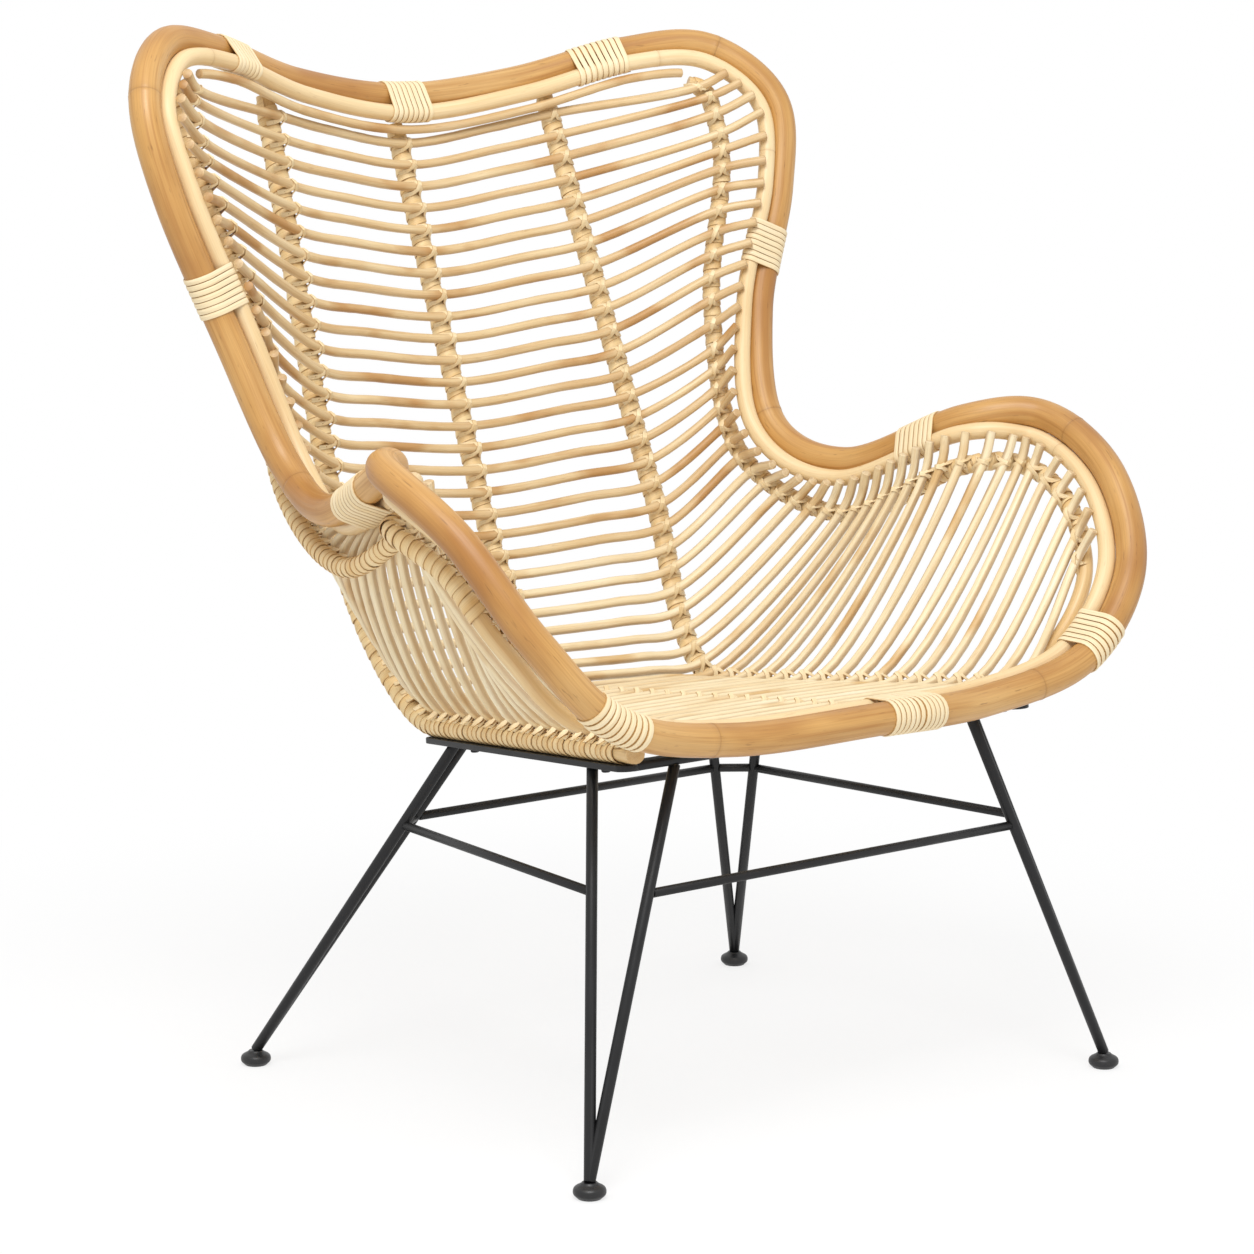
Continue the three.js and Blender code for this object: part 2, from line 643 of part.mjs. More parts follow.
function backAndSeatRib(top, bend, seatBack, seatFront) {
  const down = bend.clone().sub(top).normalize();
  const forward = seatFront.clone().sub(seatBack).normalize();
  const fromBack = along(bend, down, RIB_BEND_HANDLE);
  const intoSeat = along(seatBack, forward, -RIB_BEND_HANDLE);
  const path = new THREE.CurvePath();
  path.add(new THREE.LineCurve3(top, bend));
  path.add(new THREE.CubicBezierCurve3(bend, fromBack, intoSeat, seatBack));
  path.add(new THREE.LineCurve3(seatBack, seatFront));
  return path;
}

const RAIL_TO_RIB = (RAIL_THICKNESS + RIB_DIAMETER) / 2 + TOUCH_GAP;
// The centre rib lies with one of its facets to the cross bars and another to the rods.
const CENTRE_RIB_REACH = (RIB_DIAMETER / 2) * Math.cos(Math.PI / RIB_SIDES);
const BAR_TO_RIB = CROSS_BAR_DIAMETER / 2 + CENTRE_RIB_REACH + TOUCH_GAP;
const innerRibLine = backAndSeatRib(
  ribTop(INNER_RIB_TOP_STATION),
  vector(INNER_RIB_BEND),
  along(railBack, railUp, RAIL_TO_RIB),
  along(along(railFront, railUp, RAIL_TO_RIB), railForward, RIB_FRONT_BEYOND_BASE),
);
const barForward = barEnds.front.clone().sub(barEnds.back).setX(0).normalize();
const barUp = railUp.clone().setX(0).normalize();
const centreRibLine = backAndSeatRib(
  ribTop(0),
  vector(CENTRE_RIB_BEND),
  along(barEnds.back.clone().setX(0), barUp, BAR_TO_RIB),
  along(along(barEnds.front.clone().setX(0), barUp, BAR_TO_RIB), barForward, RIB_FRONT_BEYOND_BASE),
);

// The rods are spread along a line near the wing rib, on its side towards the hoop: evenly down the wing,
// evenly from the waist along the arm, and evenly but wider apart round the arm's front.
const spacingPlace = (station) => wingRibPlace(station).lerp(hoopPlace(station), ROD_SPACING_SHARE);
const alongWing = new StretchPath(spacingPlace, FIRST_ROD_STATION, WAIST_ROD_STATION);
const alongArm = new StretchPath(spacingPlace, WAIST_ROD_STATION, ARM_ROD_STATION);
const roundFront = new StretchPath(spacingPlace, ARM_ROD_STATION, LAST_ROD_STATION);
const stationAlong = (stretch, share) =>
  THREE.MathUtils.lerp(stretch.from, stretch.to, stretch.getUtoTmapping(share));
const WING_SPACES = WING_ROD_COUNT - 1;
const ARM_SPACES = ROD_COUNT - WING_ROD_COUNT - FRONT_ROD_COUNT;
function rodStation(rod) {
  if (rod < WING_SPACES) {
    return stationAlong(alongWing, rod / WING_SPACES);
  }
  const pastWing = rod - WING_SPACES;
  return pastWing < ARM_SPACES
    ? stationAlong(alongArm, pastWing / ARM_SPACES)
    : stationAlong(roundFront, (pastWing - ARM_SPACES) / FRONT_ROD_COUNT);
}

// The share of a rib's length, from the top of the back to the front of the seat, where a rod crosses it.
function crossingShare(line, rod) {
  const length = line.getLength();
  const first = FIRST_ROD_BELOW_RIB_TOP / length;
  const last = 1 - LAST_ROD_FROM_RIB_FRONT / length;
  return THREE.MathUtils.lerp(first, last, rod / (ROD_COUNT - 1));
}

// A rib steps where rods cross it, and only as often as its bends need.
const allRods = Array.from({ length: ROD_COUNT }, (_, rod) => rod);
const ribSection = roundSection(RIB_DIAMETER, RIB_SIDES);
function ribTube(place, start, crossings, end) {
  const stops = bendStops(place, [start, ...crossings, end], RIB_MOST_TURN);
  return tube(new StopPath(place, stops), ribSection);
}
function backRibTube(line) {
  const crossings = allRods.map((rod) => crossingShare(line, rod));
  return ribTube((share) => line.getPointAt(THREE.MathUtils.clamp(share, 0, 1)), 0, crossings, 1);
}
const wingRibTube = ribTube(
  wingRibPlace,
  WING_RIB_FIRST_STATION,
  allRods.map(rodStation),
  WING_RIB_LAST_STATION,
);

addPiece("rib_centre", backRibTube(centreRibLine), FINISHES.rib);
addPair("rib_inner", cut(backRibTube(innerRibLine), screwHoles), FINISHES.rib);
addPair("rib_wing", wingRibTube, FINISHES.rib);

// Rods: each runs from hoop to hoop over the five ribs, on the sitter's side of them.
const ROD_LIFT = (RIB_DIAMETER + ROD_DIAMETER) / 2 + ROD_GAP;
const ROD_LIFT_ON_CENTRE = CENTRE_RIB_REACH + ROD_DIAMETER / 2 + ROD_GAP;
const ROD_LIFT_ON_HOOP = CANE_OVER_HOOP + 2 * TOUCH_GAP + ROD_DIAMETER / 2;

function ribCrossing(line, rod, lift) {
  const share = crossingShare(line, rod);
  return { place: line.getPointAt(share), tangent: line.getTangentAt(share), lift };
}

// A smooth line through the places of a rod on the right half and their mirror images.
function rodLine(places) {
  const left = places.slice(0, -1).reverse().map(mirrored);
  return new THREE.CatmullRomCurve3([...places, ...left], false, "centripetal");
}

// The places of a rod from the hoop to the middle plane. Between the inner ribs a back rod is
// bowed away from the sitter and a seat rod is flat.
function rodPlaces(crossings) {
  const [end, wing, inner, centre] = crossings.map((crossing) => crossing.place);
  const { tangent } = crossings.at(-1);
  const away = new THREE.Vector3().crossVectors(ACROSS, tangent);
  const bow = BACK_BOW * Math.max(0, -tangent.z);
  const level = along(inner.clone().lerp(centre, ROD_LEVEL_SHARE), away, bow);
  return [end, wing, inner, level, centre];
}

function rodOverRibs(rod) {
  const station = rodStation(rod);
  const crossings = [
    { place: hoopPlace(station), tangent: velocity(hoopPlace, station), lift: ROD_LIFT_ON_HOOP },
    { place: wingRibPlace(station), tangent: velocity(wingRibPlace, station), lift: ROD_LIFT },
    ribCrossing(innerRibLine, rod, ROD_LIFT),
    ribCrossing(centreRibLine, rod, ROD_LIFT_ON_CENTRE),
  ];
  const places = rodPlaces(crossings);
  const line = rodLine(places);
  const raised = crossings.map(({ place, tangent, lift }) => {
    const knot = places.indexOf(place);
    const outward = line.getTangent(knot / (2 * places.length - 2)).negate();
    const facing = new THREE.Vector3().crossVectors(tangent, outward).normalize();
    return { place: along(place, facing, lift), tangent, facing };
  });
  return { places: rodPlaces(raised), lashing: raised.at(-1) };
}

const rodSection = roundSection(ROD_DIAMETER, ROD_SIDES);
const lashingSection = roundSection(LASHING_WIDTH, LASHING_SIDES);

// Stops of a line with so many steps in each of its spans.
function spanStops(spanSteps) {
  const stops = [0];
  spanSteps.forEach((steps, span) => {
    for (let i = 1; i <= steps; i++) {
      stops.push((span + i / steps) / spanSteps.length);
    }
  });
  return stops;
}

// Rods that are lashed to each other along the centre rib.
function lashedRods(rods) {
  const rodStops = spanStops([...ROD_SPAN_STEPS, ...ROD_SPAN_STEPS.toReversed()]);
  const tubes = rods.map(({ places }) => {
    const line = rodLine(places);
    return tube(new StopPath((t) => line.getPoint(t), rodStops), rodSection);
  });
  const onRods = rods.map(({ lashing }) => along(lashing.place, lashing.facing, ROD_DIAMETER / 2));
  const line = new THREE.CatmullRomCurve3(onRods, false, "centripetal");
  const lashingStops = spanStops(rods.slice(1).map(() => 1));
  return join([...tubes, tube(new StopPath((t) => line.getPoint(t), lashingStops), lashingSection)]);
}

// A rod under the hoop along the top, from wing to wing.
const TOP_ROD_DROP = CANE_OVER_HOOP + ROD_DIAMETER / 2 + 2 * TOUCH_GAP;
function topRodPlace(station) {
  const { into, facing } = rimFrame(station);
  return along(hoopPlace(station), into.clone().sub(facing).normalize(), TOP_ROD_DROP);
}
const topRodStops = RIM_STOPS.filter((stop) => Math.abs(stop) < TOP_ROD_LAST_STATION - LEAST_STEP);
const topRodPath = new StopPath(topRodPlace, [-TOP_ROD_LAST_STATION, ...topRodStops, TOP_ROD_LAST_STATION]);
addPiece("rod_under_top_hoop", tube(topRodPath, rodSection), FINISHES.rod);

const twoDigits = (number) => String(number).padStart(2, "0");
for (let first = 0; first < ROD_COUNT; first += RODS_PER_GROUP) {
  const end = Math.min(first + RODS_PER_GROUP, ROD_COUNT);
  const rods = [];
  for (let rod = first; rod < end; rod++) {
    rods.push(rodOverRibs(rod));
  }
  addPiece(`rods_${twoDigits(first + 1)}_to_${twoDigits(end)}`, lashedRods(rods), FINISHES.rod);
}

// The origin is the middle of the chair's footprint box, on the floor.
const box = new THREE.Box3().setFromObject(assembly, true);
const middle = box.getCenter(new THREE.Vector3());
assembly.position.set(-middle.x, -middle.y, -box.min.z);

export default chair;
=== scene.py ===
"""Looks of a rattan wing chair on a black steel hairpin base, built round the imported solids.

Metres, +Z up. The open front faces -Y, and left and right are as seen from the front.
"""

import bisect
import logging
import math
import random
from dataclasses import dataclass
from enum import Enum
from functools import cached_property
from typing import Callable, Sequence

import bmesh
import bpy
from mathutils import Matrix, Vector


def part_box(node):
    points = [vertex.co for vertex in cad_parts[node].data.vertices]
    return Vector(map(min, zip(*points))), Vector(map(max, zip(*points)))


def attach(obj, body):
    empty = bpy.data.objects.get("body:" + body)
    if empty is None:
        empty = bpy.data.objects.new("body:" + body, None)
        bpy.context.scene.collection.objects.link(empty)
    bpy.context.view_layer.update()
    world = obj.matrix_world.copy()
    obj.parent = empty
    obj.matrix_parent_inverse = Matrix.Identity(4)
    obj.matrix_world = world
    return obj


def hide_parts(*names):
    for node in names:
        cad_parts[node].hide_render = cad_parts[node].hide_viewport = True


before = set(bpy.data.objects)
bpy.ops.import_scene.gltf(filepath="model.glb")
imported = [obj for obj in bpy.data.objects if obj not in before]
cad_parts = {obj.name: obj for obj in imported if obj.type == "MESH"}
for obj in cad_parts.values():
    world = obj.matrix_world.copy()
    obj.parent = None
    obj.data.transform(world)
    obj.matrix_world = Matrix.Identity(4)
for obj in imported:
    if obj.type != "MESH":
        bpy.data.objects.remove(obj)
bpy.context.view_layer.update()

LOG = logging.getLogger("rattan_chair")
MM = 0.001
UP = Vector((0.0, 0.0, 1.0))
ACROSS = Vector((1.0, 0.0, 0.0))
GRAIN = "grain"
MARK = "mark"
BODY = "root"
STEP = 1e-3
TINY = 1e-6
SHARP_DEGREES = 50.0
CANE_SHARP_DEGREES = 35.0
# Where most of a noise's values lie
NOISE_RANGE = (0.3, 0.7)

Place = Callable[[float], Vector]
Triple = tuple[float, float, float]
Colour = Triple
Range = tuple[float, float]
Socket = bpy.types.NodeSocket


class Side(Enum):
    """The two halves of the chair, with the sign of X in each."""

    RIGHT = 1
    LEFT = -1

    def of(self, point: Vector) -> Vector:
        """The point of this half that answers to a point of the right half."""
        return Vector((self.value * point.x, point.y, point.z))

    @property
    def word(self) -> str:
        """The half's name in the names of its pieces."""
        return self.name.lower()


class End(Enum):
    """The two ends of the base."""

    FRONT = "front"
    BACK = "back"


def millimetres(x: float, y: float, z: float) -> Vector:
    """A point or way given in millimetres."""
    return Vector((x, y, z)) * MM


def linear(red: int, green: int, blue: int) -> Colour:
    """A colour of 0 to 255 as seen on a screen, in linear light."""
    shares = (value / 255 for value in (red, green, blue))
    return tuple(s / 12.92 if s <= 0.04045 else ((s + 0.055) / 1.055) ** 2.4 for s in shares)


def hermite(start: Vector, end: Vector, leave: Vector, arrive: Vector, share: float) -> Vector:
    """A place on the cubic from one point to another with given velocities at both.

    Args:
        start: First point.
        end: Last point.
        leave: Velocity at the first point.
        arrive: Velocity at the last point.
        share: How far along the cubic, from 0 to 1.

    Returns:
        The place on the cubic.
    """
    bend_out = -3 * start + 3 * end - 2 * leave - arrive
    bend_in = 2 * start - 2 * end + leave + arrive
    return start + leave * share + bend_out * share**2 + bend_in * share**3


def velocity(place: Place, at: float) -> Vector:
    """The change of place per unit of a line's parameter."""
    return (place(at + STEP) - place(at - STEP)) / (2 * STEP)


@dataclass(frozen=True)
class ClosedLine:
    """A smooth closed line through points, with one unit of its parameter from each to the next."""

    points: tuple[Vector, ...]

    def at(self, station: float) -> Vector:
        """A place on the line.

        Args:
            station: The station, which may lie before the first point or past the last.

        Returns:
            The place there.
        """
        whole = math.floor(station)
        count = len(self.points)
        before, first, last, after = (self.points[(whole + step) % count] for step in (-1, 0, 1, 2))
        return hermite(first, last, (last - before) / 2, (after - first) / 2, station - whole)


@dataclass(frozen=True)
class OpenLine:
    """A smooth line through points, which keeps its bends close to each point."""

    points: tuple[Vector, ...]

    def at(self, share: float) -> Vector:
        """A place on the line.

        Args:
            share: How far along the line, from 0 to 1, with an equal share for each span.

        Returns:
            The place there.
        """
        spans = len(self.points) - 1
        where = min(max(share, 0.0), 1.0) * spans
        span = min(int(where), spans - 1)
        first, last = self.points[span], self.points[span + 1]
        before = self.points[span - 1] if span else 2 * first - last
        after = self.points[span + 2] if span + 2 <= spans else 2 * last - first
        d0, d1, d2 = (math.sqrt((b - a).length) for a, b in ((before, first), (first, last), (last, after)))
        leave = (first - before) / d0 - (last - before) / (d0 + d1) + (last - first) / d1
        arrive = (last - first) / d1 - (after - first) / (d1 + d2) + (after - last) / d2
        return hermite(first, last, leave * d1, arrive * d1, where - span)


@dataclass(frozen=True)
class Route:
    """A line of many points, measured by its length."""

    points: tuple[Vector, ...]

    @cached_property
    def marks(self) -> list[float]:
        """How far along the line its points lie.

        Returns:
            The length of the line up to each point.
        """
        marks = [0.0]
        for one, other in zip(self.points, self.points[1:]):
            marks.append(marks[-1] + (other - one).length)
        return marks

    @property
    def length(self) -> float:
        """The length of the whole line."""
        return self.marks[-1]

    def at(self, run: float) -> Vector:
        """A place on the line, which goes straight on past its ends.

        Args:
            run: The length from the start of the line.

        Returns:
            The place there.
        """
        span = min(max(bisect.bisect_right(self.marks, run) - 1, 0), len(self.points) - 2)
        share = (run - self.marks[span]) / (self.marks[span + 1] - self.marks[span])
        return self.points[span].lerp(self.points[span + 1], share)

    @classmethod
    def along(cls, place: Place, start: float, end: float, count: int) -> "Route":
        """A route over a stretch of a line.

        Args:
            place: The line.
            start: Its parameter where the stretch starts.
            end: Its parameter where the stretch ends.
            count: How many points the route gets.

        Returns:
            The route.
        """
        return cls(tuple(place(start + (end - start) * i / (count - 1)) for i in range(count)))


def axes_at(origin: Vector, x: Vector, y: Vector, z: Vector) -> Matrix:
    """A frame from its origin and its three axes.

    Args:
        origin: Its origin.
        x: Its X axis.
        y: Its Y axis.
        z: Its Z axis.

    Returns:
        The frame.
    """
    turn = Matrix((x, y, z)).transposed().to_4x4()
    turn.translation = origin
    return turn


def travel_frames(points: Sequence[Vector]) -> list[Matrix]:
    """Frames along a line that turn no more than the line does, with Z along it.

    Args:
        points: The points of the line.

    Returns:
        One frame for each point.
    """
    ahead = (points[1] - points[0]).normalized()
    across = ahead.orthogonal().normalized()
    frames = []
    for i, point in enumerate(points):
        onward = (points[min(i + 1, len(points) - 1)] - points[max(i - 1, 0)]).normalized()
        across = ahead.rotation_difference(onward) @ across
        across = (across - onward * across.dot(onward)).normalized()
        ahead = onward
        frames.append(axes_at(point, across, ahead.cross(across), ahead))
    return frames


def stretched(guide: Matrix, wider: float) -> Matrix:
    """A frame whose section is stretched across the chair."""
    middle = Matrix.Translation(guide.translation)
    return middle @ Matrix.Diagonal((wider, 1.0, 1.0, 1.0)) @ middle.inverted() @ guide


def strip_frames(points: Sequence[Vector], outs: Sequence[Vector]) -> list[Matrix]:
    """Frames along a strip or a rod, with Y out of a chosen side and X across it.

    Args:
        points: The middle of the strip or rod.
        outs: The way out of that side at each point.

    Returns:
        One frame for each point.
    """
    frames = []
    for i, (point, out) in enumerate(zip(points, outs)):
        ahead = (points[min(i + 1, len(points) - 1)] - points[max(i - 1, 0)]).normalized()
        face = (out - ahead * out.dot(ahead)).normalized()
        frames.append(axes_at(point, face.cross(ahead), face, ahead))
    return frames


def round_section(radius: float, sides: int) -> list[Vector]:
    """The corners of a round section."""
    angles = (2 * math.pi * i / sides for i in range(sides))
    return [Vector((math.cos(a), math.sin(a), 0.0)) * radius for a in angles]


def cane_section(width: float, thickness: float) -> list[Vector]:
    """The corners of a flat strip with a crowned outer face."""
    shares = ((-0.5, -0.5), (0.5, -0.5), (0.48, 0.2), (0.26, 0.5), (-0.26, 0.5), (-0.48, 0.2))
    return [Vector((x * width, y * thickness, 0.0)) for x, y in shares]


class Sweep:
    """A mesh in the making, of flat grids that are rolled up into long pieces.

    A grid has a row for each frame along the piece, and its columns go round the section. Each
    vertex keeps, in the attribute "grain", its place in the section and its run along the piece,
    so that fibres follow the bends, and in "mark" a share that a finish can read.
    """

    def __init__(self, name: str) -> None:
        """Starts an empty mesh.

        Args:
            name: The name of the piece that it is for.
        """
        self.name = name
        self.mesh = bmesh.new()
        self.grain = self.mesh.verts.layers.float_vector.new(GRAIN)
        self.mark = self.mesh.verts.layers.float.new(MARK)
        self.seam: dict[bmesh.types.BMVert, bmesh.types.BMVert] = {}

    def roll(
        self,
        section: Sequence[Vector],
        frames: Sequence[Matrix],
        scales: Sequence[float] | None = None,
        marks: Sequence[float] | None = None,
        first_run: float = 0.0,
    ) -> None:
        """Rolls up a grid so that a closed section runs along frames.

        Args:
            section: The corners of the section, in the XY plane of a frame.
            frames: Where the section passes.
            scales: The size of the section at each frame.
            marks: The mark of the section at each frame.
            first_run: The run along the piece at the first frame.
        """
        columns, last_row = len(section), len(frames) - 1
        scales = scales or [1.0] * len(frames)
        marks = marks or [0.0] * len(frames)
        runs = [first_run]
        for one, other in zip(frames, frames[1:]):
            runs.append(runs[-1] + (other.translation - one.translation).length)
        sheet = bmesh.ops.create_grid(self.mesh, x_segments=columns, y_segments=last_row, size=0.5)["verts"]
        edges: dict[tuple[bool, int], bmesh.types.BMVert] = {}
        for vert in sheet:
            column, row = round((vert.co.x + 0.5) * columns), round((vert.co.y + 0.5) * last_row)
            corner = section[column % columns]
            vert.co = frames[row] @ (corner * scales[row])
            vert[self.grain] = (corner.x, corner.y, runs[row])
            vert[self.mark] = marks[row]
            if column in (0, columns):
                edges[column == 0, row] = vert
        for row in range(last_row + 1):
            self.seam[edges[False, row]] = edges[True, row]

    def finish(self, sharp_degrees: float = SHARP_DEGREES) -> bpy.types.Mesh:
        """Joins the grids' edges, caps the ends and closes the work on the mesh.

        Args:
            sharp_degrees: Edges that turn more than this stay sharp.

        Returns:
            The mesh.
        """
        bmesh.ops.weld_verts(self.mesh, targetmap=self.seam)
        bmesh.ops.holes_fill(self.mesh, edges=[edge for edge in self.mesh.edges if edge.is_boundary])
        return finished_mesh(self.name, self.mesh, sharp_degrees)


def finished_mesh(
    name: str, work: bmesh.types.BMesh, sharp_degrees: float = SHARP_DEGREES,
) -> bpy.types.Mesh:
    """Makes a mesh of finished bmesh work, with outward faces and smooth shading.

    Args:
        name: The mesh's name.
        work: The bmesh, which is freed.
        sharp_degrees: Edges that turn more than this stay sharp.

    Returns:
        The mesh.
    """
    bmesh.ops.recalc_face_normals(work, faces=work.faces)
    for face in work.faces:
        face.smooth = True
    mesh = bpy.data.meshes.new(name)
    work.to_mesh(mesh)
    work.free()
    mesh.set_sharp_from_angle(angle=math.radians(sharp_degrees))
    return mesh


@dataclass(frozen=True)
class Noise:
    """A noise by its waves in a metre across and along the grain, and the number of finer layers."""

    across: float
    along: float
    detail: float


class NodeSheet:
    """The nodes of a material or of the world, with short ways to add and join them."""

    # The colours among the sockets of a mix node
    MIXED_INPUTS = (6, 7)
    MIXED_OUTPUT = 2

    def __init__(self, tree: bpy.types.NodeTree) -> None:
        """Works on a node tree, and on its shader if it has one."""
        self.tree = tree
        self.shader = tree.nodes.get("Principled BSDF")

    def add(
        self, kind: str, inputs: dict[str | int, object] | None = None, **settings: object,
    ) -> bpy.types.Node:
        """Adds a node.

        Args:
            kind: The node's type.
            inputs: Values, or outputs of other nodes, for its inputs.
            **settings: Properties of the node itself.

        Returns:
            The node.
        """
        node = self.tree.nodes.new(kind)
        for key, value in settings.items():
            setattr(node, key, value)
        for key, value in (inputs or {}).items():
            self.feed(node.inputs[key], value)
        return node

    def feed(self, socket: Socket, value: object) -> None:
        """Gives an input a value, or joins it to another node's output.

        Args:
            socket: The input.
            value: The value or the output.
        """
        if isinstance(value, Socket):
            self.tree.links.new(value, socket)
        else:
            socket.default_value = value

    def attribute(self, name: str) -> bpy.types.Node:
        """A node that reads an attribute of the mesh."""
        return self.add("ShaderNodeAttribute", attribute_name=name, attribute_type="GEOMETRY")

    def math(self, operation: str, *values: object) -> Socket:
        """The result of an operation on numbers or on other nodes' outputs."""
        return self.add("ShaderNodeMath", dict(enumerate(values)), operation=operation).outputs[0]

    def noise(self, vector: Socket, noise: Noise) -> Socket:
        """The value of a noise.

        Args:
            vector: What the noise follows, with Z along the grain.
            noise: The noise.

        Returns:
            Its value.
        """
        waves = (noise.across, noise.across, noise.along)
        scaled = self.add("ShaderNodeMapping", {"Vector": vector, "Scale": waves}).outputs["Vector"]
        inputs = {"Vector": scaled, "Scale": 1.0, "Detail": noise.detail}
        return self.add("ShaderNodeTexNoise", inputs).outputs["Fac"]

    def spread(self, value: Socket, over: Range, to: Range) -> Socket:
        """A value's stretch over one range, spread to another."""
        limits = {"Value": value, "From Min": over[0], "From Max": over[1], "To Min": to[0], "To Max": to[1]}
        return self.add("ShaderNodeMapRange", limits).outputs["Result"]

    def mix(self, share: object, first: object, second: object) -> Socket:
        """A colour between two colours.

        Args:
            share: How much of the second colour shows.
            first: A colour or a node's output.
            second: A colour or a node's output.

        Returns:
            The mixed colour.
        """
        node = self.add("ShaderNodeMix", {0: share}, data_type="RGBA")
        for index, colour in zip(self.MIXED_INPUTS, (first, second)):
            self.feed(node.inputs[index], (*colour, 1.0) if isinstance(colour, tuple) else colour)
        return node.outputs[self.MIXED_OUTPUT]

    def tint(self, colour: object, other: object, value: Socket, over: Range, amount: float = 1.0) -> Socket:
        """A colour that another one covers where a value is high.

        Args:
            colour: A colour or a node's output.
            other: The colour that covers it.
            value: What decides where.
            over: From the value with none of the other colour to the one with most.
            amount: How much of the other colour shows at most.

        Returns:
            The mixed colour.
        """
        return self.mix(self.spread(value, over, (0.0, amount)), colour, other)

    def surface(self, colour: Socket, value: Socket, roughness: float, spread: Range) -> None:
        """Gives the shader its colour, and a roughness that follows a noise.

        Args:
            colour: The colour.
            value: The noise's value.
            roughness: The roughness without the noise.
            spread: How far the noise takes the roughness down and up.
        """
        limits = (roughness + spread[0], roughness + spread[1])
        self.feed(self.shader.inputs["Base Color"], colour)
        self.feed(self.shader.inputs["Roughness"], self.spread(value, NOISE_RANGE, limits))

    def bump(self, height: Socket, strength: float, distance: float) -> None:
        """Raises the surface by a height."""
        values = {"Height": height, "Strength": strength, "Distance": distance}
        self.feed(self.shader.inputs["Normal"], self.add("ShaderNodeBump", values).outputs["Normal"])


@dataclass(frozen=True)
class Finish:
    """A finish, by the name of its material and the name of a slot, which is not used."""

    name: str
    slot: str

    def material(self) -> bpy.types.Material:
        """The finish as a material, which is made once.

        Returns:
            The material.
        """
        made = bpy.data.materials.get(self.name)
        if made is None:
            made = bpy.data.materials.new(self.name)
            made.use_nodes = True
            self.dress(NodeSheet(made.node_tree))
        return made

    def dress(self, sheet: NodeSheet) -> None:
        """Adds the nodes of the finish to a new material."""
        raise NotImplementedError


@dataclass(frozen=True)
class RattanFinish(Finish):
    """Rattan with long fibres, blotches that follow the pole, and darker growth rings.

    Rods also get painted shade, in the ring colour, on the sides that face the next rods, where the gaps
    between them lie in shadow. Each range goes from the value of a noise where its colour starts to the
    value where it shows most.
    """

    pale: Colour
    body: Colour
    dark: Colour
    ring: Colour
    blotch_noise: Noise = Noise(16.0, 5.0, 3.0)
    streak_noise: Noise = Noise(300.0, 7.0, 3.0)
    band_noise: Noise = Noise(75.0, 3.2, 4.0)
    fleck_noise: Noise = Noise(420.0, 55.0, 2.0)
    fibre_noise: Noise = Noise(1500.0, 22.0, 2.0)
    body_range: Range = (0.28, 0.5)
    dark_range: Range = (0.54, 0.74)
    band_range: Range = (0.5, 0.72)
    streak_range: Range = (0.5, 0.75)
    fleck_range: Range = (0.66, 0.76)
    fibre_range: Range = (0.3, 0.75)
    # Painted shade on a rod's sides: from this distance off its middle towards the next rod, to where it is
    # darkest
    shade_range: Range = (3.2 * MM, 4.7 * MM)
    streaks: float = 0.5
    flecks: float = 0.3
    fibres: float = 0.22
    shaded_sides: float = 0.0
    roughness: float = 0.46
    rough_spread: Range = (-0.07, 0.09)
    coat: float = 0.12
    coat_roughness: float = 0.3
    fibre_height: float = 0.6
    bump_strength: float = 0.35
    bump_depth: float = 0.4 * MM

    def dress(self, sheet: NodeSheet) -> None:
        """Adds the fibres, blotches, rings and the painted shade on the rods' sides.

        Args:
            sheet: The nodes of the new material.
        """
        grain = sheet.attribute(GRAIN).outputs["Vector"]
        blotch = sheet.noise(grain, self.blotch_noise)
        streak = sheet.noise(grain, self.streak_noise)
        band = sheet.noise(grain, self.band_noise)
        fleck = sheet.noise(grain, self.fleck_noise)
        fibre = sheet.noise(grain, self.fibre_noise)
        colour = sheet.tint(self.pale, self.body, blotch, self.body_range)
        for other, value, over, amount in (
            (self.dark, blotch, self.dark_range, 1.0),
            (self.dark, band, self.band_range, self.streaks),
            (self.dark, streak, self.streak_range, self.streaks),
            (self.ring, fleck, self.fleck_range, self.flecks),
            (self.ring, fibre, self.fibre_range, self.fibres),
        ):
            colour = sheet.tint(colour, other, value, over, amount)
        # Painted shade: the sides that face the next rods are darkened towards the ring colour, as the gaps
        # between rods lie in shadow
        if self.shaded_sides:
            aside = sheet.math("ABSOLUTE", sheet.add("ShaderNodeSeparateXYZ", {"Vector": grain}).outputs["Y"])
            colour = sheet.tint(colour, self.ring, aside, self.shade_range, self.shaded_sides)
        colour = sheet.mix(sheet.attribute(MARK).outputs["Fac"], colour, self.ring)
        sheet.surface(colour, streak, self.roughness, self.rough_spread)
        sheet.shader.inputs["Coat Weight"].default_value = self.coat
        sheet.shader.inputs["Coat Roughness"].default_value = self.coat_roughness
        height = sheet.math("ADD", streak, sheet.math("MULTIPLY", fibre, self.fibre_height))
        sheet.bump(height, self.bump_strength, self.bump_depth)


